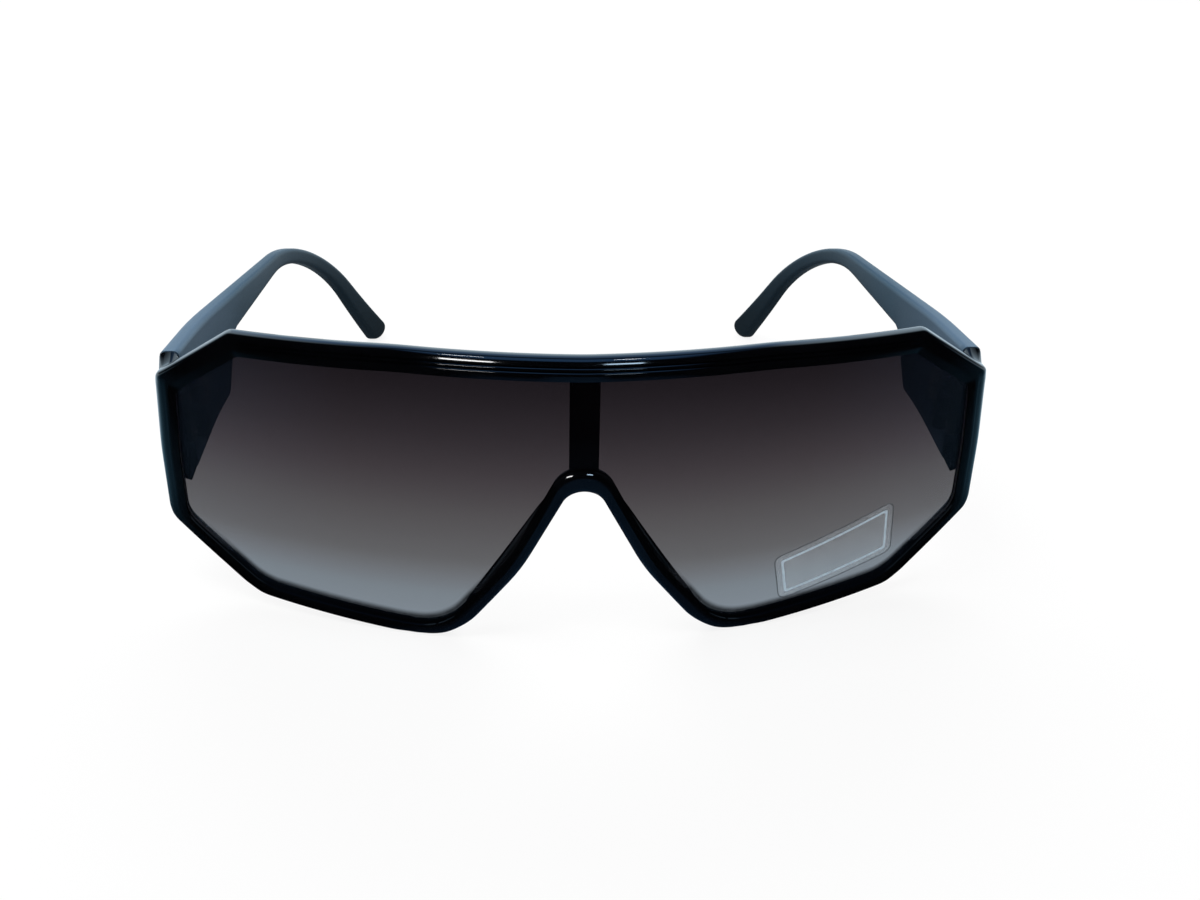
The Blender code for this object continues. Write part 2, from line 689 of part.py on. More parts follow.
def core_route(start, end_margin):
    """Middle line of the temple's side view, from its front end to near its tip."""
    corners = temple_corners()
    top, under = corners[1], corners[4]
    first = Vector((start, corners[0][1] - CORE_DROP))
    bend = Vector((top[0] + under[0], top[1] + under[1])) / 2
    last = Vector((corners[2][0] + corners[3][0], corners[2][1] + corners[3][1])) / 2
    last += (bend - last).normalized() * end_margin
    before, after = first - bend, last - bend
    turn = math.pi - before.angle(after)
    radius = (top[2] + under[2]) / 2
    reach = radius * math.tan(turn / 2)
    centre = bend + (before.normalized() + after.normalized()).normalized() * radius / math.cos(turn / 2)
    way = bend + before.normalized() * reach - centre
    steps = math.ceil(radius * turn / FACET_LENGTH)
    arc = [centre + Matrix.Rotation(-turn * step / steps, 2) @ way for step in range(steps + 1)]
    return straight(first, arc[0]) + arc + straight(arc[-1], last)[1:] + [last]


def straight(start, end):
    """Evenly spaced points from a start up to, but not including, an end."""
    steps = max(1, math.ceil((end - start).length / FACET_LENGTH))
    return [start.lerp(end, step / steps) for step in range(steps)]


def wire(name, route, radius):
    """A round wire along a route (y, z) in the flat temple's middle."""
    curve = bpy.data.curves.new(name, "CURVE")
    curve.dimensions = "3D"
    curve.bevel_depth = radius
    curve.bevel_resolution = WIRE_RESOLUTION
    curve.use_fill_caps = True
    spline = curve.splines.new("POLY")
    spline.points.add(len(route) - 1)
    for knot, point in zip(spline.points, route):
        knot.co = (TEMPLE_MIDDLE_HALF, point.x, point.y, 1.0)
    holder = new_object(name, curve)
    mesh = bpy.data.meshes.new_from_object(holder.evaluated_get(bpy.context.evaluated_depsgraph_get()))
    bpy.data.objects.remove(holder, do_unlink=True)
    weld(mesh)
    return new_object(name, mesh)


def temple():
    """One moulded temple, with the bore of its wire core and its rivet holes."""
    piece = slab("temple", rounded(temple_corners()), TEMPLE_INNER_HALF, TEMPLE_OUTER_HALF, along="X")
    bevel_where(piece, lambda p: near(p.x, TEMPLE_INNER_HALF), TEMPLE_EDGE_BEVEL, 2)
    bevel_where(piece, lambda p: near(p.x, TEMPLE_OUTER_HALF), TEMPLE_EDGE_BEVEL, 2)
    route = core_route(TEMPLE_FRONT - CUT_OVERRUN, CORE_TIP_MARGIN - CORE_CLEARANCE)
    combine(piece, wire("bore", route, CORE_RADIUS + CORE_CLEARANCE), "DIFFERENCE")
    for y, z in temple_rivet_places():
        combine(piece, rivet_hole(y, z, 1), "DIFFERENCE")
    slice_and_bend(piece, "Y", TEMPLE_FRONT, TEMPLE_END, bend_temple)
    return piece


def temple_core():
    """The wire core that stiffens a temple."""
    piece = wire("temple_core", core_route(TEMPLE_FRONT + CORE_CLEARANCE, CORE_TIP_MARGIN), CORE_RADIUS)
    slice_and_bend(piece, "Y", TEMPLE_FRONT, TEMPLE_END, bend_temple)
    return piece


# Hinges


def frame_leaf_front():
    """Front edge of the frame's hinge leaf, just behind the rim."""
    return RIM_DEPTH + wrap(TEMPLE_INNER_HALF) + PIECE_GAP


def frame_rivet_places():
    """Places (y, z) of the frame leaf's two rivets."""
    y = (frame_leaf_front() + PIN_Y - BARREL_RADIUS) / 2
    return [(y, HINGE_HEIGHT + KNUCKLE_PITCH), (y, HINGE_HEIGHT - KNUCKLE_PITCH)]


def temple_rivet_places():
    """Places (y, z) of the temple leaf's two rivets."""
    middle = PIN_Y + BARREL_SWEEP + TEMPLE_LEAF_LENGTH / 2
    return [(middle - TEMPLE_RIVET_PITCH / 2, HINGE_HEIGHT), (middle + TEMPLE_RIVET_PITCH / 2, HINGE_HEIGHT)]


def rivet_hole(y, z, side):
    """Cutter for a blind rivet hole in the inner side of an end piece or a temple."""
    near_end = TEMPLE_INNER_HALF - PIECE_GAP
    far_end = TEMPLE_INNER_HALF + RIVET_GRIP + PIECE_GAP
    start, end = sorted((side * near_end, side * far_end))
    return drum("hole", RIVET_RADIUS + RIVET_CLEARANCE, start, end, (y, z), "X", RIVET_SIDES)


def turned(name, profile, sides):
    """A turned piece about Z, from a profile (radius, height) that runs from top to bottom."""
    mesh = bpy.data.meshes.new(name)
    points = [(radius, 0.0, height) for radius, height in profile]
    mesh.from_pydata(points, [(i, i + 1) for i in range(len(points) - 1)], [])
    thing = new_object(name, mesh)
    spin = thing.modifiers.new("turn", "SCREW")
    spin.axis = "Z"
    spin.steps = spin.render_steps = sides
    spin.use_merge_vertices = True
    spin.merge_threshold = WELD_DISTANCE
    made = bpy.data.meshes.new_from_object(thing.evaluated_get(bpy.context.evaluated_depsgraph_get()))
    bpy.data.objects.remove(thing, do_unlink=True)
    weld(made)
    return new_object(name, made)


def frame_hinge():
    """The frame's half of a hinge: a leaf with the two outer knuckles."""
    front_edge = frame_leaf_front()
    notch = KNUCKLE_LENGTH / 2 + KNUCKLE_GAP
    inner = PIN_Y - BARREL_SWEEP
    corners = [
        (front_edge, HINGE_FOOT, LEAF_CORNER_RADIUS), (PIN_Y, HINGE_FOOT, 0.0),
        (PIN_Y, HINGE_HEIGHT - notch, 0.0), (inner, HINGE_HEIGHT - notch, 0.0),
        (inner, HINGE_HEIGHT + notch, 0.0), (PIN_Y, HINGE_HEIGHT + notch, 0.0),
        (PIN_Y, HINGE_TOP, 0.0), (front_edge, HINGE_TOP, LEAF_CORNER_RADIUS),
    ]
    piece = slab("frame_hinge", rounded(corners), LEAF_INNER, LEAF_OUTER, along="X")
    for middle in (HINGE_HEIGHT - KNUCKLE_PITCH, HINGE_HEIGHT + KNUCKLE_PITCH):
        combine(piece, knuckle(middle), "UNION")
    return drilled(piece, frame_rivet_places())


def temple_hinge():
    """The temple's half of a hinge: a leaf with the middle knuckle."""
    front_edge = PIN_Y + BARREL_SWEEP
    back_edge = front_edge + TEMPLE_LEAF_LENGTH
    tongue = KNUCKLE_LENGTH / 2
    half = TEMPLE_LEAF_HEIGHT / 2
    corners = [
        (PIN_Y, HINGE_HEIGHT - tongue, 0.0), (front_edge, HINGE_HEIGHT - tongue, 0.0),
        (front_edge, HINGE_HEIGHT - half, LEAF_CORNER_RADIUS),
        (back_edge, HINGE_HEIGHT - half, half / 2), (back_edge, HINGE_HEIGHT + half, half / 2),
        (front_edge, HINGE_HEIGHT + half, LEAF_CORNER_RADIUS),
        (front_edge, HINGE_HEIGHT + tongue, 0.0), (PIN_Y, HINGE_HEIGHT + tongue, 0.0),
    ]
    piece = slab("temple_hinge", rounded(corners), LEAF_INNER, LEAF_OUTER, along="X")
    combine(piece, knuckle(HINGE_HEIGHT), "UNION")
    return drilled(piece, temple_rivet_places())


def knuckle(middle):
    """One hinge knuckle about the pin's axis."""
    half = KNUCKLE_LENGTH / 2
    return drum("knuckle", BARREL_RADIUS, middle - half, middle + half, (PIN_X, PIN_Y))


def drilled(piece, places):
    """A hinge half with its screw bore and its rivet holes."""
    bore = drum("bore", SCREW_RADIUS + SCREW_CLEARANCE, HINGE_FOOT - CUT_OVERRUN, HINGE_TOP + CUT_OVERRUN,
                (PIN_X, PIN_Y))
    combine(piece, bore, "DIFFERENCE")
    for y, z in places:
        hole = drum("hole", RIVET_RADIUS + RIVET_CLEARANCE, LEAF_INNER - PIECE_GAP, LEAF_OUTER + PIECE_GAP,
                    (y, z), "X", RIVET_SIDES)
        combine(piece, hole, "DIFFERENCE")
    return piece


def hinge_screw():
    """The screw that the hinge turns on, with a slotted head."""
    under_head = HINGE_TOP + SCREW_CLEARANCE
    top = under_head + SCREW_HEAD_HEIGHT
    profile = [
        (0.0, top), (SCREW_HEAD_RADIUS - SCREW_END_BEVEL, top), (SCREW_HEAD_RADIUS, top - SCREW_END_BEVEL),
        (SCREW_HEAD_RADIUS, under_head), (SCREW_RADIUS, under_head),
        (SCREW_RADIUS, HINGE_FOOT + SCREW_END_BEVEL), (SCREW_RADIUS - SCREW_END_BEVEL, HINGE_FOOT),
        (0.0, HINGE_FOOT),
    ]
    piece = turned("hinge_screw", profile, ROUND_SIDES)
    piece.data.transform(Matrix.Translation((PIN_X, PIN_Y, 0.0)))
    half = SCREW_SLOT_WIDTH / 2
    slot = box("screw_slot", (PIN_X - SCREW_HEAD_RADIUS - CUT_OVERRUN, PIN_Y - half, top - SCREW_SLOT_DEPTH),
               (PIN_X + SCREW_HEAD_RADIUS + CUT_OVERRUN, PIN_Y + half, top + CUT_OVERRUN))
    return combine(piece, slot, "DIFFERENCE")


def rivet(y, z):
    """A dome-headed rivet through a leaf into the moulding behind it."""
    length = LEAF_THICKNESS + PIECE_GAP + RIVET_GRIP + RIVET_CLEARANCE
    dome = [(RIVET_HEAD_RADIUS * math.sin(math.radians(a)), RIVET_HEAD_HEIGHT * math.cos(math.radians(a)))
            for a in (0, 30, 60, 90)]
    profile = dome + [(RIVET_RADIUS, 0.0), (RIVET_RADIUS, -length), (0.0, -length)]
    piece = turned("rivet", profile, RIVET_SIDES)
    place = Matrix.Translation((LEAF_INNER - RIVET_CLEARANCE, y, z))
    piece.data.transform(place @ Matrix.Rotation(-math.pi / 2, 4, "Y"))
    return piece


# Assembly


def finish(piece, name, look, group, pivot=None):
    """Names a piece, gives it its material and puts it in the collection, and under its pivot."""
    piece.name = name
    piece.data.name = name
    piece.data.materials.clear()
    piece.data.materials.append(look)
    piece.data.shade_smooth()
    piece.data.set_sharp_from_angle(angle=math.radians(30))
    for owner in list(piece.users_collection):
        owner.objects.unlink(piece)
    group.objects.link(piece)
    if pivot is not None:
        piece.data.transform(Matrix.Translation(-pivot.location))
        piece.parent = pivot


def both_sides(piece, name, look, group, pivots=(None, None)):
    """Finishes a piece of the left side, and its mirror image for the right."""
    other = mirrored(piece, name)
    finish(piece, name.format("left"), look, group, pivots[0])
    finish(other, name.format("right"), look, group, pivots[1])


def temple_pivot(side, name, group):
    """An empty on a temple's fold axis."""
    pivot = bpy.data.objects.new(name, None)
    pivot.location = (side * PIN_X, PIN_Y, HINGE_HEIGHT)
    pivot.empty_display_size = TEMPLE_HEIGHT
    group.objects.link(pivot)
    return pivot


def centre_depth(group):
    """Moves everything along Y, so that the origin lies below the middle of the depth."""
    bpy.context.view_layer.update()
    depths = [(thing.matrix_world @ vertex.co).y
              for thing in group.objects if thing.type == "MESH" for vertex in thing.data.vertices]
    middle = (min(depths) + max(depths)) / 2
    for thing in group.objects:
        if thing.parent is None:
            thing.location.y -= middle


def build():
    """Builds the sunglasses; left and right are the wearer's, so the left temple is at +X."""
    clear_scene()
    group = collection("shield_sunglasses")
    gloss = material("gloss_black", (0.006, 0.007, 0.009), 0.12)
    satin = material("satin_black", (0.030, 0.036, 0.042), 0.45)
    smoke = material("smoke_lens", (0.10, 0.09, 0.09), 0.03, alpha=0.75)
    nickel = material("nickel_silver", (0.62, 0.58, 0.50), 0.28, metallic=1.0)
    steel = material("steel", (0.55, 0.55, 0.56), 0.30, metallic=1.0)
    pivots = (temple_pivot(1, "left_temple_pivot", group), temple_pivot(-1, "right_temple_pivot", group))
    finish(front(), "frame_front", gloss, group)
    finish(lens(), "shield_lens", smoke, group)
    both_sides(temple(), "temple_{}", satin, group, pivots)
    both_sides(temple_core(), "temple_core_{}", nickel, group, pivots)
    both_sides(frame_hinge(), "frame_hinge_{}", nickel, group)
    both_sides(temple_hinge(), "temple_hinge_{}", nickel, group, pivots)
    both_sides(hinge_screw(), "hinge_screw_{}", steel, group)
    for word, (y, z) in zip(("upper", "lower"), frame_rivet_places()):
        both_sides(rivet(y, z), "frame_rivet_{}_" + word, nickel, group)
    for word, (y, z) in zip(("front", "rear"), temple_rivet_places()):
        both_sides(rivet(y, z), "temple_rivet_{}_" + word, nickel, group, pivots)
    centre_depth(group)


build()
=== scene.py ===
"""Looks of the one-piece shield sunglasses: finer mouldings, lens, label film, materials, floor and light.

All sizes are in metres, in the row frame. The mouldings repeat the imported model's shapes with many more
stations, so that they are smooth, and they carry the small forms of the real mouldings.
"""
import math

import bmesh
import bpy
from mathutils import Matrix, Vector


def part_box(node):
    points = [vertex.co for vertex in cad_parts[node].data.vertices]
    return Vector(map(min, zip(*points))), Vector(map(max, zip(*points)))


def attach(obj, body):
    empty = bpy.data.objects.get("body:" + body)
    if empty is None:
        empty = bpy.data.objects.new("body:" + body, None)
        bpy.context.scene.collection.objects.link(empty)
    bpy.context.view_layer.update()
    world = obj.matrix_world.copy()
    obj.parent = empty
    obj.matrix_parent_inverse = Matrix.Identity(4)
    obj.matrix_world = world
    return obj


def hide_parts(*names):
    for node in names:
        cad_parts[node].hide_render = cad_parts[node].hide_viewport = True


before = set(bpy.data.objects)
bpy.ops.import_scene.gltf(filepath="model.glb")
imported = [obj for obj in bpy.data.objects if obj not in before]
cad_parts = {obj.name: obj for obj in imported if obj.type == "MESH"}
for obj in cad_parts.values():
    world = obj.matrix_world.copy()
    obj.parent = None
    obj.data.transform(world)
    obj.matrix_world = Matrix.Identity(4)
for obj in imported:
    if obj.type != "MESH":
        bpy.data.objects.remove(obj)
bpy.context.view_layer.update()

MM = 0.001

# Front outline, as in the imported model
HALF_WIDTH = 77.1 * MM
FRONT_HEIGHT = 57.3 * MM
NOSE_ARCH_HEIGHT = 31.5 * MM
NOSE_ARCH_RADIUS = 4.0 * MM
NOSE_FOOT_HALF = 22.4 * MM
NOSE_FOOT_RADIUS = 12.5 * MM
NOSE_BEND_HALF = 10.8 * MM
NOSE_BEND_HEIGHT = 15.2 * MM
NOSE_BEND_RADIUS = 40.0 * MM
WRAP_RADIUS = 137.0 * MM
WRAP_DEPTH = HALF_WIDTH * HALF_WIDTH / (2 * WRAP_RADIUS)

# Height and radius of the brow's middle, then the corners down to the foot: place from the nose foot to the
# side, height and radius, all as shares
BROW_MIDDLE_SHARE = 0.990
BROW_MIDDLE_RADIUS = 1.5
OUTLINE_SHARES = (
    (0.151, 0.998, 1.500),
    (0.664, 0.975, 0.045),
    (0.956, 0.775, 0.060),
    (0.987, 0.515, 1.500),
    (1.000, 0.265, 0.060),
    (0.710, 0.042, 0.180),
    (0.220, 0.000, 0.400),
)

# The rim, edge by edge from the brow's middle down to the nose arch, in mm: width of the band, slimmer at
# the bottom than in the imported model, how much further in the lens's ground edge reaches, width and depth
# of the flare towards the lens, and round of the outer edge
EDGES = (
    (4.1, 0.0, 1.1, 0.55, 0.75),
    (4.1, 0.0, 1.1, 0.55, 0.75),
    (4.0, 0.0, 1.7, 0.60, 0.80),
    (4.2, 0.0, 1.3, 0.25, 2.00),
    (4.2, 0.0, 1.3, 0.25, 2.00),
    (3.0, 0.4, 1.2, 0.40, 1.40),
    (2.1, 0.7, 1.1, 0.35, 0.80),
    (1.9, 0.7, 1.1, 0.35, 0.80),
    (3.2, 0.0, 1.0, 0.50, 1.90),
    (3.2, 0.0, 1.0, 0.50, 1.90),
)
BANDS, LEDGES, FLARES, FLARE_DEPTHS, ROUNDS = ([value * MM for value in column] for column in zip(*EDGES))

# Corners of the lens opening with a radius of their own, and those that keep it in a wider outline
OPENING_RADII = {2: 1.4 * MM, 3: 4.0 * MM, 5: 4.0 * MM, 8: 9.9 * MM, 10: 6.0 * MM}
KEPT_RADII = (8, 10)

# Rim and lens, from front to back
RIM_DEPTH = 3.2 * MM
SLOT_FRONT = 0.7 * MM
SLOT_BACK = 2.6 * MM
LENS_FRONT = 1.0 * MM
LENS_THICKNESS = 1.3 * MM
LENS_SEAT = 1.1 * MM
LENS_MARGIN = 0.8 * MM
LENS_EDGE_BEVEL = 0.15 * MM
GROUND_EDGE_WIDTH = 1.9 * MM
GROUND_EDGE_DEPTH = 0.5 * MM

# Temples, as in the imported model
TEMPLE_OUTER_HALF = 74.8 * MM
TEMPLE_THICKNESS = 3.4 * MM
TEMPLE_TIP_THICKNESS = 2.7 * MM
TEMPLE_INNER_HALF = TEMPLE_OUTER_HALF - TEMPLE_THICKNESS
TEMPLE_MIDDLE_HALF = TEMPLE_OUTER_HALF - TEMPLE_THICKNESS / 2
TEMPLE_HEIGHT = 24.1 * MM
TEMPLE_BUTT_LOW = 22.4 * MM
BUTT_DEPTH = RIM_DEPTH + WRAP_DEPTH + 1.2 * MM
BUTT_OVERRUN = 3.0 * MM
TEMPLE_FRONT = BUTT_DEPTH + 0.3 * MM
TEMPLE_DEEP_LENGTH = 25.2 * MM
TEMPLE_BEND_LENGTH = 86.3 * MM
TEMPLE_STEP_RUN = 7.4 * MM
TEMPLE_STEP_RADII = (4.0 * MM, 2.0 * MM)
TEMPLE_BAR_HEIGHT = 7.8 * MM
TEMPLE_BEND_HEIGHT = 38.6 * MM
TEMPLE_BEND_RADIUS = 47.5 * MM
TEMPLE_NECK_HEIGHT = 2.2 * MM
TEMPLE_TIP_REACH = 26.0 * MM
TEMPLE_TIP_WIDTH = 6.4 * MM
TEMPLE_TIP_RADII = (2.6 * MM, 2.4 * MM)
TEMPLE_END_RADIUS = 1.0 * MM
TEMPLE_STRAIGHT = 11.5 * MM
TEMPLE_TOE_ANGLE = math.radians(5.9)
TEMPLE_TOE_BLEND = 12.0 * MM
TEMPLE_CURL = 12.0 * MM
TEMPLE_CURL_START = 64.5 * MM
TEMPLE_CURL_LENGTH = 44.0 * MM

# Rounded edges of the temples, in the mesh only
TEMPLE_EDGE = 1.4 * MM
TEMPLE_EDGE_STEPS = 6
TEMPLE_BUTT_BEVEL = 0.12 * MM
TEMPLE_SHARP = 50

# How fine the meshes are, and from what angle their edges are shaded sharp, in degrees
TURN_STEP = math.radians(4)
LEAST_TURN = math.radians(1)
LENGTH_STEP = 2.0 * MM
SHEET_STEP = 1.5 * MM
JOIN = 0.005 * MM
PEAK_HALVINGS = 60
BEVEL_STEPS = 2
MOULDING_SHARP = 32
LENS_SHARP = 15
FILM_SHARP = 40

EDGE_NAME = "edge_share"
FRONT_Y = float(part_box("frame_front")[0][1])


# Outlines


def corner_turn(corners, index):
    """A corner, the vectors to its neighbours, and how far the outline turns there."""
    here = Vector(corners[index][:2])
    before = Vector(corners[index - 1][:2]) - here
    after = Vector(corners[(index + 1) % len(corners)][:2]) - here
    return here, before, after, math.pi - before.angle(after)


def corner_points(corners, index, steps):
    """Points of one rounded corner, in steps + 1 places."""
    here, before, after, turn = corner_turn(corners, index)
    radius = corners[index][2]
    if steps == 0:
        return [here]
    reach = radius * math.tan(turn / 2)
    start = here + before.normalized() * reach
    end = here + after.normalized() * reach
    centre = here + (before.normalized() + after.normalized()).normalized() * radius / math.cos(turn / 2)
    way = start - centre
    sign = 1 if way.x * (end - centre).y - way.y * (end - centre).x > 0 else -1
    return [centre + Matrix.Rotation(sign * turn * step / steps, 2) @ way for step in range(steps + 1)]


def outlines(*families):
    """Rounded outlines of several matched sets of corners, point for point."""
    guide = families[0]
    made = [[] for _ in families]
    for index in range(len(guide)):
        turn = corner_turn(guide, index)[3]
        radius = max(corners[index][2] for corners in families)
        steps = 0
        if turn > LEAST_TURN and radius > 0:
            steps = max(math.ceil(turn / TURN_STEP), math.ceil(radius * turn / LENGTH_STEP))
        for points, corners in zip(made, families):
            points.append(corner_points(corners, index, steps))
    whole = [[] for _ in families]
    for index in range(len(guide)):
        start = made[0][index][-1]
        end = made[0][(index + 1) % len(guide)][0]
        count = max(1, math.ceil((end - start).length / LENGTH_STEP))
        for points, parts in zip(whole, made):
            points.extend(parts[index])
            first, last = parts[index][-1], parts[(index + 1) % len(guide)][0]
            points.extend(first.lerp(last, step / count) for step in range(1, count))
    return whole


def inset(corners, widths):
    """Moves each edge of a closed outline in by its own width."""
    area = sum(a[0] * b[1] - b[0] * a[1] for a, b in zip(corners, corners[1:] + corners[:1]))
    inward = 1 if area > 0 else -1
    lines = []
    for index, width in enumerate(widths):
        start = Vector(corners[index][:2])
        along = (Vector(corners[(index + 1) % len(corners)][:2]) - start).normalized()
        lines.append((start + Vector((-along.y, along.x)) * inward * width, along))
    moved = []
    for index in range(len(corners)):
        (p, a), (q, b) = lines[index - 1], lines[index]
        gap = q - p
        moved.append(p + a * (gap.x * b.y - gap.y * b.x) / (a.x * b.y - a.y * b.x))
    return moved


def nose_peak():
    """Height at which the nose flanks would meet."""
    low, high = NOSE_ARCH_HEIGHT, FRONT_HEIGHT
    for _ in range(PEAK_HALVINGS):
        peak = (low + high) / 2
        lean = math.atan2(NOSE_BEND_HALF, peak - NOSE_BEND_HEIGHT)
        if peak - NOSE_ARCH_RADIUS * (1 / math.sin(lean) - 1) > NOSE_ARCH_HEIGHT:
            high = peak
        else:
            low = peak
    return peak


def front_corners():
    """Corners of the front's outline, down its left side to the nose arch and back up its right."""
    span = HALF_WIDTH - NOSE_FOOT_HALF
    half = [(0.0, BROW_MIDDLE_SHARE * FRONT_HEIGHT, BROW_MIDDLE_RADIUS * FRONT_HEIGHT)]
    half += [(NOSE_FOOT_HALF + u * span, v * FRONT_HEIGHT, r * FRONT_HEIGHT) for u, v, r in OUTLINE_SHARES]
    half.append((NOSE_FOOT_HALF, 0.0, NOSE_FOOT_RADIUS))
    half.append((NOSE_BEND_HALF, NOSE_BEND_HEIGHT, NOSE_BEND_RADIUS))
    half.append((0.0, nose_peak(), NOSE_ARCH_RADIUS))
    return half + [(-x, z, radius) for x, z, radius in reversed(half[1:-1])]


def edge_values(values):
    """One value for each edge of the whole outline, from those of its left half."""
    return values + values[::-1]


def opening_corners(extra=0.0, ledge=0.0):
    """Corners of the lens opening, widened by extra and narrowed by a share of the ledges."""
    outer = front_corners()
    widths = [band - extra + ledge * more for band, more in zip(BANDS, LEDGES)]
    made = []
    for index, point in enumerate(inset(outer, edge_values(widths))):
        place = min(index, len(outer) - index)
        radius = OPENING_RADII.get(place, outer[index][2])
        if place not in KEPT_RADII and radius > 0:
            radius += extra
        made.append((point.x, point.y, radius))
    return made


def wrap(x):
    """Depth of the front's curve at a place along its width."""
    return x * x / (2 * WRAP_RADIUS)


# Mesh helpers


def new_object(name, mesh):
    """Links a mesh as an object."""
    thing = bpy.data.objects.new(name, mesh)
    bpy.context.scene.collection.objects.link(thing)
    return thing


def open_mesh(thing):
    """A thing's mesh, open for editing."""
    work = bmesh.new()
    work.from_mesh(thing.data)
    return work


def close_mesh(work, thing):
    """Puts an edited mesh back."""
    work.to_mesh(thing.data)
    work.free()


def clean_mesh(work):
    """Joins doubled points and drops faces without area."""
    bmesh.ops.remove_doubles(work, verts=work.verts, dist=JOIN)
    bmesh.ops.dissolve_degenerate(work, edges=work.edges, dist=JOIN)


def cut_mesh(work, place, normal, clear=False):
    """Cuts a mesh with a plane, and clears what lies in front of it if asked."""
    return bmesh.ops.bisect_plane(work, geom=work.verts[:] + work.edges[:] + work.faces[:], dist=JOIN,
                                  plane_co=place, plane_no=normal, clear_inner=clear)


def from_rings(name, rings, closed=True):
    """A surface through rings of points; the last joins the first if closed, else both ends are caps."""
    work = bmesh.new()
    grid = [[work.verts.new(point) for point in ring] for ring in rings]
    count, size = len(grid), len(grid[0])
    for i in range(count if closed else count - 1):
        here, there = grid[i], grid[(i + 1) % count]
        for j in range(size):
            work.faces.new((here[j], here[(j + 1) % size], there[(j + 1) % size], there[j]))
    if not closed:
        work.faces.new(grid[0])
        work.faces.new(grid[-1])
    bmesh.ops.recalc_face_normals(work, faces=work.faces)
    thing = new_object(name, bpy.data.meshes.new(name))
    close_mesh(work, thing)
    return thing


def slab(name, points, start, end, along="Y"):
    """A flat outline extruded from start to end along Y (outline x, z) or X (outline y, z)."""
    rings = []
    for place in (start, end):
        if along == "Y":
            rings.append([Vector((p[0], place, p[1])) for p in points])
        else:
            rings.append([Vector((place, p[0], p[1])) for p in points])
    return from_rings(name, rings, closed=False)


def block(name, low, high):
    """A closed block between two corners."""
    (x0, y0, z0), (x1, y1, z1) = low, high
    return slab(name, [(x0, z0), (x1, z0), (x1, z1), (x0, z1)], y0, y1)


def reshape(thing, move):
    """Moves each vertex of a thing."""
    for vertex in thing.data.vertices:
        vertex.co = move(vertex.co.copy())
    thing.data.update()


def sliced(thing, axis, pitch):
    """Cuts a thing's faces across an axis, so that it can bend smoothly."""
    work = open_mesh(thing)
    normal = Vector([1.0 if letter == axis else 0.0 for letter in "XYZ"])
    places = [vertex.co.dot(normal) for vertex in work.verts]
    low, high = min(places), max(places)
    count = max(1, math.ceil((high - low) / pitch))
    for step in range(1, count):
        cut_mesh(work, normal * (low + (high - low) * step / count), normal)
    bmesh.ops.triangulate(work, faces=[face for face in work.faces if len(face.verts) > 4])
    close_mesh(work, thing)


def bevelled(thing, width, segments, angle, test=None):
    """Rounds the edges of a thing sharper than an angle, or only those whose two ends pass a test."""
    work = open_mesh(thing)
    edges = [e for e in work.edges
             if e.is_manifold and e.calc_face_angle() > math.radians(angle)
             and (test is None or (test(e.verts[0].co) and test(e.verts[1].co)))]
    bmesh.ops.bevel(work, geom=edges, offset=width, offset_type="OFFSET", segments=segments,
                    profile=0.5, affect="EDGES", clamp_overlap=True)
    clean_mesh(work)
    close_mesh(work, thing)


def trimmed(thing, start):
    """Cuts off what lies in front of a depth, and closes the cut."""
    work = open_mesh(thing)
    cut = cut_mesh(work, (0, start, 0), (0, 1, 0), clear=True)
    rim_edges = [piece for piece in cut["geom_cut"] if isinstance(piece, bmesh.types.BMEdge)]
    bmesh.ops.edgeloop_fill(work, edges=rim_edges)
    bmesh.ops.recalc_face_normals(work, faces=work.faces)
    close_mesh(work, thing)


def combine(thing, other):
    """Joins another thing to a thing with a Boolean union, and removes it."""
    step = thing.modifiers.new("step", "BOOLEAN")
    step.operation = "UNION"
    step.solver = "EXACT"
    step.object = other
    mesh = bpy.data.meshes.new_from_object(thing.evaluated_get(bpy.context.evaluated_depsgraph_get()))
    thing.modifiers.clear()
    thing.data = mesh
    bpy.data.objects.remove(other, do_unlink=True)
    work = open_mesh(thing)
    clean_mesh(work)
    close_mesh(work, thing)


def smooth(thing, angle):
    """Shades a thing smooth, with edges sharper than an angle kept."""
    thing.data.shade_smooth()
    thing.data.set_sharp_from_angle(angle=math.radians(angle))


def mirror_copy(thing, name):
    """The same piece on the other side."""
    mesh = thing.data.copy()
    mesh.transform(Matrix.Diagonal((-1, 1, 1, 1)))
    mesh.flip_normals()
    return new_object(name, mesh)


def place_in_row(thing):
    """Moves a piece from the front's own depth to the row frame."""
    thing.data.transform(Matrix.Translation((0, FRONT_Y, 0)))


# Materials


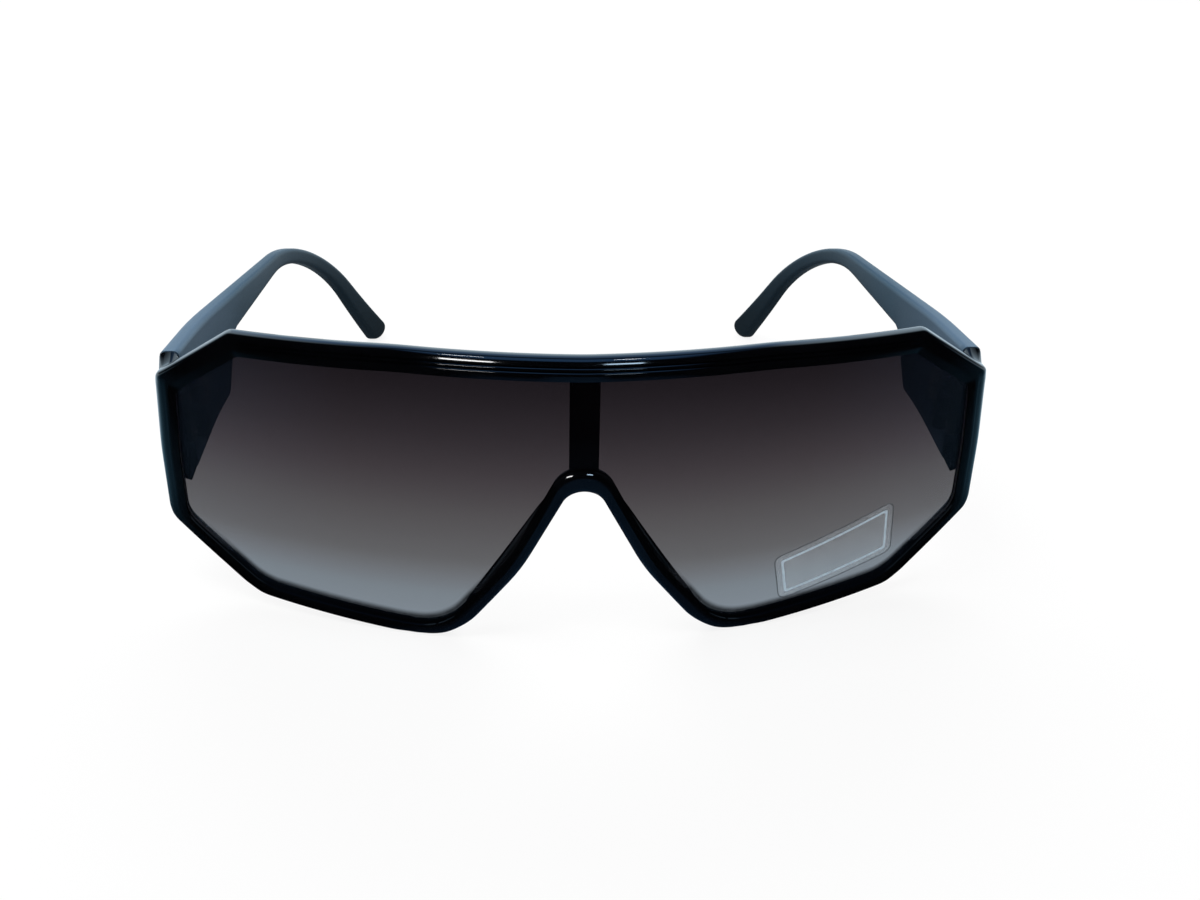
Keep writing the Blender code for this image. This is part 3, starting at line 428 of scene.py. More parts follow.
class Look:
    """The nodes of one material or world, and short ways to add to them."""

    def __init__(self, owner):
        owner.use_nodes = True
        self.nodes, self.links = owner.node_tree.nodes, owner.node_tree.links

    def put(self, socket, value):
        """Links an output to a socket, or sets the socket to a plain value."""
        if isinstance(value, bpy.types.NodeSocket):
            self.links.new(value, socket)
        elif socket.type == "RGBA":
            socket.default_value = (*value, 1.0)
        else:
            socket.default_value = value

    def fill(self, node, values):
        """Puts values into a node's inputs, by name or number."""
        for key, value in values.items():
            self.put(node.inputs[key], value)
        return node

    def add(self, kind, values):
        """A new node with values in its inputs."""
        return self.fill(self.nodes.new(kind), values)

    def place(self, kind="Object"):
        """The piece's own coordinates, or others by name."""
        return self.nodes.new("ShaderNodeTexCoord").outputs[kind]

    def parts(self, where):
        """The three coordinates of a place or direction."""
        return self.add("ShaderNodeSeparateXYZ", {"Vector": where}).outputs

    def noise(self, where, scale, detail=3.0, roughness=0.5, stretch=None):
        """A noise texture, stretched if asked."""
        if stretch:
            where = self.add("ShaderNodeMapping", {"Vector": where, "Scale": stretch}).outputs["Vector"]
        values = {"Vector": where, "Scale": scale, "Detail": detail, "Roughness": roughness}
        return self.add("ShaderNodeTexNoise", values).outputs["Fac"]

    def ramp(self, source, stops):
        """A colour ramp through (place, colour) stops."""
        made = self.add("ShaderNodeValToRGB", {"Fac": source})
        elements = made.color_ramp.elements
        while len(elements) < len(stops):
            elements.new(0.5)
        for element, (place, colour) in zip(elements, stops):
            element.position = place
            element.color = (*colour, 1.0)
        return made.outputs["Color"]

    def spread(self, source, span, to=(0.0, 1.0)):
        """Maps a value from one span to another, held at its ends."""
        made = self.add("ShaderNodeMapRange", {"Value": source})
        ends = dict(zip(("From Min", "From Max", "To Min", "To Max"), (*span, *to)))
        return self.fill(made, ends).outputs["Result"]

    def math(self, operation, first, second=0.0):
        """Joins two values."""
        made = self.nodes.new("ShaderNodeMath")
        made.operation = operation
        return self.fill(made, {0: first, 1: second}).outputs["Value"]

    def mixed(self, share, first, second, way="MIX"):
        """Blends two colours by a share."""
        made = self.nodes.new("ShaderNodeMix")
        made.data_type = "RGBA"
        made.blend_type = way
        return self.fill(made, {0: share, 6: first, 7: second}).outputs[2]

    def blend(self, share, first, second):
        """Blends two shaders by a share."""
        return self.add("ShaderNodeMixShader", {0: share, 1: first, 2: second}).outputs["Shader"]

    def bump(self, shader, height, strength, distance):
        """Gives a shader a bump from a height."""
        made = self.add("ShaderNodeBump", {"Height": height, "Strength": strength, "Distance": distance})
        self.put(shader.inputs["Normal"], made.outputs["Normal"])

    def show(self, surface):
        """Sends a shader to the material's output."""
        self.put(self.nodes["Material Output"].inputs["Surface"], surface)


def material(name):
    """A new material, with its look and its shader."""
    made = bpy.data.materials.new(name)
    look = Look(made)
    return made, look, look.nodes["Principled BSDF"]


def grey(value):
    """A grey colour."""
    return (value, value, value)


# Where a noise's values mostly lie; how much darker metal patches are, and how its lines change its
# roughness; and how much of the print is left where it is worn
NOISE_SPAN = (0.3, 0.7)
PATCH_SHADE = 0.82
LINE_ROUGHNESS = (-0.07, 0.09)
WORN_PRINT = 0.75

# Satin temples: painted light by depth in the row frame, the base colour paler towards the front where the
# light falls brighter, and darker towards the tips
SATIN_PAINTED_LIGHT_SPAN = (-60.0 * MM, 75.0 * MM)
SATIN_PAINTED_LIGHT_TONES = (
    (0.00, (0.055, 0.095, 0.145)),
    (0.30, (0.036, 0.064, 0.100)),
    (0.42, (0.012, 0.034, 0.058)),
    (0.58, (0.003, 0.018, 0.036)),
    (0.80, (0.001, 0.010, 0.021)),
    (0.95, (0.000, 0.002, 0.006)),
)

# Lens: how clear it is, and the tone it gives, by share of the front's height
TINT_CLEAR = (
    (0.050, 0.550),
    (0.155, 0.505),
    (0.210, 0.445),
    (0.290, 0.355),
    (0.450, 0.290),
    (0.605, 0.220),
    (0.730, 0.165),
    (0.860, 0.120),
    (0.950, 0.095),
)
TINT_TONES = (
    (0.050, (0.86, 0.930, 1.00)),
    (0.155, (0.87, 0.940, 1.00)),
    (0.210, (0.91, 0.950, 1.00)),
    (0.290, (0.97, 0.975, 1.00)),
    (0.450, (1.00, 0.974, 1.00)),
    (0.605, (1.00, 0.925, 0.98)),
    (0.950, (1.00, 0.890, 1.00)),
)
HAZE_SPAN = (40.0 * MM, 62.0 * MM)
HAZE_TONES = ((0.0012, 0.0010, 0.0014), (0.0036, 0.0056, 0.0094))

# Ground edge: where its painted shade at the bottom and on one nose flank and its painted highlight line at
# the sides begin, and how they change over its width
BOTTOM_SHADE_SPAN = (9.0 * MM, 15.0 * MM)
SIDE_HIGHLIGHT_SPAN = (60.0 * MM, 66.0 * MM)
FLANK_SHADE_START, FLANK_SHADE_END = (-36.0 * MM, -32.0 * MM), (-13.0 * MM, -9.0 * MM)
FLANK_SHADE_TOP = (28.0 * MM, 32.0 * MM)
# Painted shade at the bottom and on one nose flank, darker towards the rim, and at the sides a pale painted
# highlight line with painted shade at the very edge
BOTTOM_PAINTED_SHADE = ((0.02, grey(0.0)), (0.14, grey(0.25)), (0.26, grey(0.62)), (0.40, grey(0.92)))
FLANK_PAINTED_SHADE = ((0.30, grey(0.0)), (0.55, grey(0.25)), (0.80, grey(0.60)), (1.00, grey(0.90)))
SIDE_PAINTED_HIGHLIGHT = ((0.66, grey(0.0)), (0.72, grey(0.9)), (0.86, grey(0.9)), (0.92, grey(0.95)))
SIDE_PAINTED_HIGHLIGHT_TONES = ((0.86, (0.36, 0.37, 0.40)), (0.92, (0.002, 0.002, 0.003)))


def gloss_black():
    """Polished black moulding: faint flow marks, hairlines and a few rubbed spots."""
    made, look, shader = material("gloss_black_moulding")
    where = look.place()
    cloud = look.noise(where, scale=60.0, detail=4.0)
    hair = look.noise(where, scale=900.0, detail=2.0, roughness=0.6, stretch=(0.12, 1.0, 1.0))
    polish = look.spread(cloud, (0.35, 0.7), to=(0.035, 0.07))
    scuffs = look.spread(hair, (0.62, 0.80), to=(0.0, 0.10))
    look.fill(shader, {
        "Base Color": look.ramp(cloud, ((0.3, (0.0006, 0.0007, 0.0010)), (0.7, (0.0011, 0.0013, 0.0019)))),
        "Roughness": look.math("ADD", polish, scuffs),
        "Specular IOR Level": 0.5,
    })
    look.bump(shader, look.noise(where, scale=260.0, detail=2.0), strength=0.05, distance=0.05 * MM)
    return made


def satin_black():
    """Satin blue-black moulding of the temples, with painted light that makes its colour paler towards the
    front, and a fine even grain.
    """
    made, look, shader = material("satin_black_moulding")
    where = look.place()
    cloud = look.noise(where, scale=45.0, detail=4.0)
    grain = look.noise(where, scale=3200.0, detail=2.0, roughness=0.6)
    # Painted light: the base colour is paler towards the front and darker towards the tips, as the light
    # falls
    shade = look.ramp(look.spread(look.parts(where)["Y"], SATIN_PAINTED_LIGHT_SPAN), SATIN_PAINTED_LIGHT_TONES)
    patches = look.ramp(cloud, ((0.3, grey(0.85)), (0.7, grey(1.15))))
    polish = look.spread(cloud, NOISE_SPAN, to=(0.36, 0.44))
    fine = look.spread(grain, NOISE_SPAN, to=(-0.04, 0.04))
    look.fill(shader, {
        "Base Color": look.mixed(1.0, shade, patches, "MULTIPLY"),
        "Roughness": look.math("ADD", polish, fine),
        "Specular IOR Level": 0.5,
        "Specular Tint": (0.66, 0.90, 1.0),
    })
    look.bump(shader, grain, strength=0.12, distance=0.03 * MM)
    return made


def tint_shader(look, shader, where):
    """Smoke tint by height: nearly opaque and brownish under the brow, clearer and bluish lower down."""
    across, _, height = look.parts(where)
    level = look.spread(height, (0.0, FRONT_HEIGHT))
    veil = look.ramp(level, [(place, grey(1 - clear)) for place, clear in TINT_CLEAR])
    dust = look.spread(look.noise(where, scale=1500.0, detail=1.0), (0.80, 0.86), to=(0.0, 0.10))
    haze = look.spread(look.math("ABSOLUTE", across), HAZE_SPAN)
    smears = look.noise(where, scale=70.0, detail=5.0)
    look.fill(shader, {
        "Base Color": look.mixed(haze, *HAZE_TONES),
        "Roughness": look.spread(smears, (0.35, 0.7), to=(0.03, 0.07)),
        "Specular IOR Level": 0.22,
        "Specular Tint": (1.0, 0.72, 0.55),
    })
    through = look.add("ShaderNodeBsdfTransparent", {"Color": look.ramp(level, TINT_TONES)})
    return look.blend(look.math("ADD", veil, dust), through.outputs["BSDF"], shader.outputs["BSDF"])


def lens_tint():
    """Smoke lens with a polished face."""
    made, look, shader = material("graded_smoke_lens")
    look.show(tint_shader(look, shader, look.place()))
    return made


def ground_edge():
    """Ground edge of the lens, with painted shade at the bottom and on one nose flank, and at the sides a
    pale painted highlight line with painted shade beyond it.
    """
    made, look, shader = material("ground_lens_edge")
    where = look.place()
    tinted = tint_shader(look, shader, where)
    across, _, height = look.parts(where)
    way = look.nodes.new("ShaderNodeAttribute")
    way.attribute_name = EDGE_NAME
    out = way.outputs["Fac"]
    # Painted shade at the bottom and on one nose flank, and at the sides a pale painted highlight line with
    # painted shade beyond it, laid over the tinted lens as a diffuse colour
    bottom = look.spread(height, BOTTOM_SHADE_SPAN, to=(1.0, 0.0))
    side = look.spread(look.math("ABSOLUTE", across), SIDE_HIGHLIGHT_SPAN)
    flank = look.math("MULTIPLY", look.spread(across, FLANK_SHADE_START, to=(0.0, 0.9)),
                      look.spread(across, FLANK_SHADE_END, to=(1.0, 0.0)))
    flank = look.math("MULTIPLY", flank, look.spread(height, FLANK_SHADE_TOP, to=(1.0, 0.0)))
    line = look.math("MULTIPLY", look.ramp(out, SIDE_PAINTED_HIGHLIGHT), side)
    veil = look.mixed(flank, line, look.ramp(out, FLANK_PAINTED_SHADE))
    veil = look.mixed(bottom, veil, look.ramp(out, BOTTOM_PAINTED_SHADE))
    worn = look.spread(look.noise(where, scale=700.0), NOISE_SPAN, to=(0.92, 1.0))
    dark = look.math("MAXIMUM", bottom, flank)
    tone = look.mixed(dark, look.ramp(out, SIDE_PAINTED_HIGHLIGHT_TONES), (0.004, 0.006, 0.009))
    ground = look.add("ShaderNodeBsdfDiffuse", {"Color": tone})
    look.show(look.blend(look.math("MULTIPLY", veil, worn), tinted, ground.outputs["BSDF"]))
    return made


def brushed_metal(name, colour, roughness, stretch):
    """Machined or rolled metal with fine lines along one way."""
    made, look, shader = material(name)
    where = look.place()
    lines = look.noise(where, scale=4000.0, roughness=0.6, stretch=stretch)
    cloud = look.noise(where, scale=300.0)
    dark = tuple(PATCH_SHADE * channel for channel in colour)
    polish = tuple(roughness + change for change in LINE_ROUGHNESS)
    look.fill(shader, {
        "Base Color": look.ramp(cloud, ((0.3, dark), (0.7, colour))),
        "Roughness": look.spread(lines, NOISE_SPAN, to=polish),
        "Metallic": 1.0,
    })
    look.bump(shader, lines, strength=0.10, distance=0.02 * MM)
    return made


def film_clear():
    """Thin clear label film."""
    made, look, shader = material("clear_label_film")
    cloud = look.noise(look.place(), scale=400.0)
    look.fill(shader, {
        "Alpha": look.spread(cloud, NOISE_SPAN, to=(0.05, 0.09)),
        "Base Color": (0.62, 0.70, 0.76),
        "Roughness": 0.12,
        "Specular IOR Level": 0.3,
    })
    return made


def film_print(name, colour, alpha):
    """Worn print or edge of the label film."""
    made, look, shader = material(name)
    wear = look.noise(look.place(), scale=900.0)
    look.fill(shader, {
        "Alpha": look.spread(wear, (0.35, 0.65), to=(WORN_PRINT * alpha, alpha)),
        "Base Color": colour,
        "Roughness": 0.4,
    })
    return made


# Front


# Section of the rim: its edges and rounds
BACK_REACH = -0.5 * MM
BACK_BEVEL = 1.0 * MM
BACK_STEPS = 3
SLOT_EDGE = 0.15 * MM
ROUND_STEPS = 5
ROUND_LIMIT = 0.9
FINE_BEVEL = 0.05 * MM
FINE_BEVEL_SHARP = 28
FINE_BEVEL_DEPTH = SLOT_FRONT + 0.2 * MM

# Its front face: crown, tilt and ridge, then the two grooves with their places and width on the brow, in
# metres, and elsewhere, as shares of the face
CROWN = 0.12 * MM
CROWN_FACE = 0.6 * MM
CROWN_MIDDLE, CROWN_MIDDLE_DEPTH, CROWN_END = 0.45, 0.35, 0.60
BROW_TILT = 0.16 * MM
BROW_RIDGE = 1.10 * MM
GROOVES = ((1.18 * MM, 0.66), (1.98 * MM, 0.80))
GROOVE_WIDTH, PLAIN_GROOVE_WIDTH = 0.70 * MM, 0.12
GROOVE_DEPTH = 0.45 * MM
GROOVE_SHARES = ((0.0, 0.0), (0.34, 1.0), (0.40, 0.58), (0.50, 0.30), (0.64, 0.12), (0.80, 0.03), (1.0, 0.0))

# Along the rim: how softly the edges' values blend, how wide a flare may be, where the grooves end, above
# what heights the brow lies, and where and how far its form fades
BLEND_REACH = 0.4 * MM
FLARE_LIMIT = 0.6
GROOVE_INSET, GROOVE_FADE_BEFORE, GROOVE_FADE_PAST = 1.0 * MM, 0.5 * MM, 0.3 * MM
BROW_HEIGHT, NOSE_BROW_HEIGHT = 0.5 * FRONT_HEIGHT, 0.7 * FRONT_HEIGHT
BROW_FADE_LOW, BROW_FADE_HIGH = 0.74 * FRONT_HEIGHT, 0.86 * FRONT_HEIGHT
BROW_SIDE_FADE = 0.75


def ease(value, low, high):
    """Smooth step from 0 at low to 1 at high."""
    share = min(max((value - low) / (high - low), 0.0), 1.0)
    return share * share * (3 - 2 * share)


def quarter(steps):
    """Angles of a quarter turn."""
    return [math.pi / 2 * step / steps for step in range(steps + 1)]


def section(width, flare, fall, radius, grooved, brow):
    """Section of the rim as (inward place, depth): front face, groove, flare, lens slot and back."""
    flat_end = width - flare
    radius = min(radius, ROUND_LIMIT * flat_end)
    face = flat_end - radius
    plain = 1 - brow
    crown = CROWN * min(face / CROWN_FACE, 1.0)
    tilt = crown + (BROW_TILT - crown) * brow
    points = [(radius * (1 - math.cos(angle)), tilt + radius * (1 - math.sin(angle)))
              for angle in quarter(ROUND_STEPS)]
    points.append((radius + CROWN_MIDDLE * face * plain, tilt * CROWN_MIDDLE_DEPTH * plain + tilt * brow))
    points.append((radius + (BROW_RIDGE - radius) * brow + CROWN_END * face * plain, 0.0))
    for place, share in GROOVES:
        start = (radius + share * face) * plain + place * brow
        reach = PLAIN_GROOVE_WIDTH * face * plain + GROOVE_WIDTH * brow
        points += [(start + reach * across, GROOVE_DEPTH * grooved * down) for across, down in GROOVE_SHARES]
    seat, back = width - LENS_SEAT, width + BACK_REACH
    points += [(flat_end, 0.0), (width, fall), (width, SLOT_FRONT), (seat, SLOT_FRONT), (seat, SLOT_BACK),
               (back, SLOT_BACK), (back, RIM_DEPTH - SLOT_EDGE), (back - SLOT_EDGE, RIM_DEPTH)]
    points += [(BACK_BEVEL * (1 - math.sin(angle)), RIM_DEPTH - BACK_BEVEL * (1 - math.cos(angle)))
               for angle in quarter(BACK_STEPS)]
    return points


def edge_weight(point, start, end):
    """How much an edge's values count at a point of the outline."""
    along = end - start
    share = min(max((point - start).dot(along) / along.length_squared, 0.0), 1.0)
    return 1 / ((point - (start + along * share)).length + BLEND_REACH) ** 2


def rim():
    """The rim as one lofted ring of sections."""
    corners = front_corners()
    outer, inner = outlines(corners, opening_corners())
    tables = [edge_values(values) for values in (FLARES, FLARE_DEPTHS, ROUNDS)]
    ends = [Vector(corner[:2]) for corner in corners]
    edges = list(zip(ends, ends[1:] + ends[:1]))
    groove_end, brow_end = abs(corners[2][0]) - GROOVE_INSET, abs(corners[3][0])
    rings = []
    for o, i in zip(outer, inner):
        way = i - o
        width = way.length
        way.normalize()
        weights = [edge_weight(o, start, end) for start, end in edges]
        flare, fall, radius = (sum(w * v for w, v in zip(weights, row)) / sum(weights) for row in tables)
        aside = abs(o.x)
        grooved = brow = 0.0
        if o.y > BROW_HEIGHT and (aside >= NOSE_FOOT_HALF or o.y >= NOSE_BROW_HEIGHT):
            grooved = 1 - ease(aside, groove_end - GROOVE_FADE_BEFORE, groove_end + GROOVE_FADE_PAST)
            brow = 1 - BROW_SIDE_FADE * ease(aside, groove_end, brow_end)
            brow *= ease(o.y, BROW_FADE_LOW, BROW_FADE_HIGH)
        flare = min(flare, FLARE_LIMIT * width)
        ring = []
        for place, depth in section(width, flare, fall, radius, grooved * brow, brow):
            flat = o + way * place
            ring.append(Vector((flat.x, depth + wrap(flat.x), flat.y)))
        rings.append(ring)
    piece = from_rings("front_moulding", rings)
    bevelled(piece, FINE_BEVEL, BEVEL_STEPS, FINE_BEVEL_SHARP, lambda p: p.y - wrap(p.x) < FINE_BEVEL_DEPTH)
    return piece


# Bar behind the middle of the lens
BAR_HALF = 2.5 * MM
BAR_LOW, BAR_HIGH = NOSE_ARCH_HEIGHT + 1.6 * MM, FRONT_HEIGHT - 2.0 * MM
BAR_FRONT, BAR_BACK = SLOT_BACK - 0.3 * MM, RIM_DEPTH + 0.6 * MM
BAR_EDGE, BAR_EDGE_STEPS, BAR_SHARP = 0.3 * MM, 3, 60


def centre_bar():
    """The bar behind the middle of the lens."""
    piece = block("bar", (-BAR_HALF, BAR_FRONT, BAR_LOW), (BAR_HALF, BAR_BACK, BAR_HIGH))
    bevelled(piece, BAR_EDGE, BAR_EDGE_STEPS, BAR_SHARP)
    return piece


# End pieces
LUG_INSET = 0.2 * MM
LUG_OVERLAP = 0.3 * MM
LUG_STEPS = 6
LUG_EDGE = 0.5 * MM
LUG_END_BEVEL = 0.12 * MM
BUTT_EDGE = 1.3 * MM


def line_through(start, end, value):
    """Second coordinate of the line through two places, where its first has a value."""
    return start[1] + (end[1] - start[1]) * (value - start[0]) / (end[0] - start[0])


def lug_corners():
    """Corners of the left end piece where it leaves the rim, and where it meets the temple's butt."""
    outline = front_corners()
    brow_end, corner, side_middle, side_low = inset(outline, [LUG_INSET] * len(outline))[2:6]
    low, top = TEMPLE_BUTT_LOW, TEMPLE_BUTT_LOW + TEMPLE_HEIGHT
    inner, outer = TEMPLE_INNER_HALF, TEMPLE_OUTER_HALF
    low_side = line_through(side_middle.yx, side_low.yx, low)
    inner_top = min(line_through(brow_end, corner, inner), top)
    at_rim = [(inner, low, LUG_EDGE), (low_side, low, LUG_EDGE), (side_middle.x, side_middle.y, 0.0),
              (corner.x, corner.y, outline[3][2]), (inner, inner_top, LUG_EDGE)]
    at_butt = [(inner, low, BUTT_EDGE), (outer, low, BUTT_EDGE), (outer, side_middle.y, 0.0),
               (outer, top, BUTT_EDGE), (inner, top, BUTT_EDGE)]
    return at_rim, at_butt


def lug():
    """The left end piece, blended from the rim's corner to the temple's butt."""
    at_rim, at_butt = outlines(*lug_corners())
    centre = sum(at_butt, Vector((0.0, 0.0))) / len(at_butt)
    rings = [[Vector((p.x, RIM_DEPTH - LUG_OVERLAP + wrap(p.x), p.y)) for p in at_rim]]
    for step in range(LUG_STEPS + 1):
        share = step / LUG_STEPS
        ring = []
        for first, last in zip(at_rim, at_butt):
            p = first.lerp(last, share)
            y = (RIM_DEPTH + wrap(p.x)) * (1 - share) + (BUTT_DEPTH - LUG_END_BEVEL) * share
            ring.append(Vector((p.x, y, p.y)))
        rings.append(ring)
    eased = [p + (centre - p).normalized() * LUG_END_BEVEL for p in at_butt]
    rings.append([Vector((p.x, BUTT_DEPTH, p.y)) for p in eased])
    return from_rings("lug", rings, closed=False)


# Nose pads: where they start and end on the flank, their mesh, and their size, round and lean
PAD_START, PAD_END = 0.25, 0.80
PAD_STEPS, PAD_SIDES = 28, 20
PAD_DEPTH, PAD_SINK = 2.4 * MM, 0.4 * MM
PAD_HALF, PAD_INSET = 1.15 * MM, 1.45 * MM
PAD_TIP_BULGE, PAD_TIP_WIDTH = 0.25, 0.6
PAD_ACROSS_POWER, PAD_RISE_POWER = 0.75, 0.6
PAD_LEAN = math.tan(math.radians(8))


def squared(value, power):
    """A sine or cosine made squarer by a power."""
    return math.copysign(abs(value) ** power, value)


def pad():
    """The left moulded nose pad, a soft crescent on the back of the nose flank."""
    foot = Vector((NOSE_FOOT_HALF, 0.0))
    bend = Vector((NOSE_BEND_HALF, NOSE_BEND_HEIGHT))
    peak = Vector((0.0, nose_peak()))
    low = foot.lerp(bend, PAD_START)
    high = bend.lerp(peak, PAD_END * (NOSE_ARCH_HEIGHT - bend.y) / (peak.y - bend.y))
    rings = []
    for step in range(PAD_STEPS + 1):
        share = step / PAD_STEPS
        flank = low.lerp(bend, share).lerp(bend.lerp(high, share), share)
        along = ((bend - low) * (1 - share) + (high - bend) * share).normalized()
        inward = Vector((along.y, -along.x))
        way = 2 * share - 1
        bulge = PAD_TIP_BULGE + (1 - PAD_TIP_BULGE) * math.sqrt(max(1 - way * way, 0.0))
        depth = PAD_DEPTH * bulge
        half = PAD_HALF * (PAD_TIP_WIDTH + (1 - PAD_TIP_WIDTH) * bulge)
        ring = []
        for side in range(PAD_SIDES):
            angle = 2 * math.pi * side / PAD_SIDES
            across = half * squared(math.cos(angle), PAD_ACROSS_POWER)
            rise = 0.5 + 0.5 * squared(math.sin(angle), PAD_RISE_POWER)
            flat = flank + inward * (PAD_INSET + across)
            behind = -PAD_SINK + (depth + PAD_SINK) * rise
            x = flat.x + PAD_LEAN * max(behind, 0.0)
            ring.append(Vector((x, RIM_DEPTH + behind + wrap(x), flat.y)))
        rings.append(ring)
    return from_rings("pad", rings, closed=False)


def front():
    """The whole front moulding."""
    piece = rim()
    combine(piece, centre_bar())
    for make in (lug, pad):
        left = make()
        right = mirror_copy(left, "right_side")
        combine(piece, left)
        combine(piece, right)
    smooth(piece, MOULDING_SHARP)
    place_in_row(piece)
    return piece


def lens():
    """The lens: a thin wrapped sheet in the rim's slot, with a ground slope round the edge of its back."""
    outer, eased, inner = outlines(opening_corners(LENS_MARGIN),
                                   opening_corners(LENS_MARGIN - LENS_EDGE_BEVEL),
                                   opening_corners(LENS_MARGIN - GROUND_EDGE_WIDTH, 1.0))
    edge_front, back = LENS_FRONT + LENS_EDGE_BEVEL, LENS_FRONT + LENS_THICKNESS
    levels = ((eased, LENS_FRONT), (outer, edge_front), (outer, back - GROUND_EDGE_DEPTH), (inner, back))
    rings = [[Vector((p.x, depth, p.y)) for p in points] for points, depth in levels]
    piece = from_rings("tinted_shield", rings, closed=False)
    sliced(piece, "X", SHEET_STEP)
    for face in piece.data.polygons:
        low = min(piece.data.vertices[i].co.y for i in face.vertices)
        face.material_index = int(face.center.y > edge_front and low < back - JOIN)
    shares = piece.data.attributes.new(EDGE_NAME, "FLOAT", "POINT")
    for vertex, value in zip(piece.data.vertices, shares.data):
        value.value = min(max((back - vertex.co.y) / GROUND_EDGE_DEPTH, 0.0), 1.0)
    reshape(piece, lambda p: Vector((p.x, p.y + wrap(p.x), p.z)))
    smooth(piece, LENS_SHARP)
    place_in_row(piece)
    return piece


# Temples


def temple_corners():
    """Corners of the temple's side view (y, z, radius), from the front top round underneath."""
    front_y, low, top = TEMPLE_FRONT, TEMPLE_BUTT_LOW, TEMPLE_BUTT_LOW + TEMPLE_HEIGHT
    early = front_y - BUTT_OVERRUN
    bend = Vector((front_y + TEMPLE_BEND_LENGTH, TEMPLE_BEND_HEIGHT))
    deep_end = front_y + TEMPLE_DEEP_LENGTH
    slope = (top - bend.y) / TEMPLE_BEND_LENGTH
    step_end = deep_end + TEMPLE_STEP_RUN
    bar_top = top - slope * (step_end - front_y)
    tip_outer = bend.x + TEMPLE_TIP_REACH
    neck = TEMPLE_NECK_HEIGHT
    return [
        (early, top + slope * BUTT_OVERRUN, TEMPLE_END_RADIUS),
        (bend.x, bend.y, TEMPLE_BEND_RADIUS),
        (tip_outer, 0.0, TEMPLE_TIP_RADII[0]),
        (tip_outer - TEMPLE_TIP_WIDTH, 0.0, TEMPLE_TIP_RADII[1]),
        (bend.x - neck + slope * neck, bend.y - neck / 2, TEMPLE_BEND_RADIUS - TEMPLE_BAR_HEIGHT),
        (step_end, bar_top - TEMPLE_BAR_HEIGHT, TEMPLE_STEP_RADII[0]),
        (deep_end, low + slope * TEMPLE_DEEP_LENGTH, TEMPLE_STEP_RADII[1]),
        (early, low - slope * BUTT_OVERRUN, TEMPLE_END_RADIUS),
    ]


def temple_offset(along):
    """How far a temple has turned and curled inwards at a distance behind its front end."""
    past = max(0.0, along - TEMPLE_STRAIGHT)
    if past < TEMPLE_TOE_BLEND:
        toe = math.tan(TEMPLE_TOE_ANGLE) * past * past / (2 * TEMPLE_TOE_BLEND)
    else:
        toe = math.tan(TEMPLE_TOE_ANGLE) * (past - TEMPLE_TOE_BLEND / 2)
    return toe + TEMPLE_CURL * (max(0.0, along - TEMPLE_CURL_START) / TEMPLE_CURL_LENGTH) ** 2


def bend_temple(place):
    """Takes a point of the flat temple to the real one, which thins, toes in and curls at its tip."""
    along = place.y - TEMPLE_FRONT
    share = min(max((along - TEMPLE_DEEP_LENGTH) / (TEMPLE_BEND_LENGTH - TEMPLE_DEEP_LENGTH), 0.0), 1.0)
    thinning = 1 + (TEMPLE_TIP_THICKNESS / TEMPLE_THICKNESS - 1) * share
    x = TEMPLE_MIDDLE_HALF + (place.x - TEMPLE_MIDDLE_HALF) * thinning - temple_offset(along)
    return Vector((x, place.y, place.z))


def temple():
    """The left temple with softly rounded edges."""
    points = outlines(temple_corners())[0]
    piece = slab("left_temple_moulding", points, TEMPLE_INNER_HALF, TEMPLE_OUTER_HALF, along="X")
    bevelled(piece, TEMPLE_EDGE, TEMPLE_EDGE_STEPS, TEMPLE_SHARP)
    trimmed(piece, TEMPLE_FRONT)
    bevelled(piece, TEMPLE_BUTT_BEVEL, BEVEL_STEPS, TEMPLE_SHARP, lambda p: p.y < TEMPLE_FRONT + JOIN)
    sliced(piece, "Y", LENGTH_STEP)
    reshape(piece, bend_temple)
    smooth(piece, MOULDING_SHARP)
    place_in_row(piece)
    return piece


# Label film on the lens


# Corners of the film (x, z) and its radii, how far the film and its print stand off the lens and how thick
# they are, and the margin and width of the border and the edge line
FILM_CORNERS = ((35.0 * MM, 14.1 * MM), (58.6 * MM, 21.3 * MM), (59.7 * MM, 9.6 * MM), (36.9 * MM, 4.3 * MM))
FILM_RADIUS, FILM_LEAST_RADIUS = 1.6 * MM, 0.5 * MM
FILM_LIFT, FILM_THICKNESS = 0.10 * MM, 0.08 * MM
PRINT_LIFT, PRINT_THICKNESS = 0.12 * MM, 0.015 * MM
BORDER_MARGIN, BORDER_WIDTH = 1.3 * MM, 0.45 * MM
EDGE_MARGIN, EDGE_WIDTH = -0.02 * MM, 0.22 * MM


def film_outline(margin):
    """Outline of the label film, or of a line inside it."""
    corners = [Vector(corner) for corner in FILM_CORNERS]
    if margin:
        corners = inset(corners, [margin] * len(corners))
    radius = max(FILM_RADIUS - margin, FILM_LEAST_RADIUS)
    return outlines([(p.x, p.y, radius) for p in corners])[0]


def on_lens(x, lift):
    """Depth of a place just in front of the lens."""
    return LENS_FRONT - lift + wrap(x) + FRONT_Y


def film_sheet(name):
    """A closed sheet that follows the lens's front."""
    piece = slab(name, film_outline(0.0), 0.0, FILM_THICKNESS)
    sliced(piece, "X", SHEET_STEP)
    reshape(piece, lambda p: Vector((p.x, p.y + on_lens(p.x, FILM_LIFT), p.z)))
    smooth(piece, FILM_SHARP)
    return piece


def film_line(name, margin, width):
    """A closed thin line round the film."""
    rings = []
    for o, i in zip(film_outline(margin), film_outline(margin + width)):
        o_depth, i_depth = on_lens(o.x, PRINT_LIFT), on_lens(i.x, PRINT_LIFT)
        rings.append([Vector((o.x, o_depth, o.y)), Vector((i.x, i_depth, i.y)),
                      Vector((i.x, i_depth + PRINT_THICKNESS, i.y)),
                      Vector((o.x, o_depth + PRINT_THICKNESS, o.y))])
    return from_rings(name, rings)


# Pieces


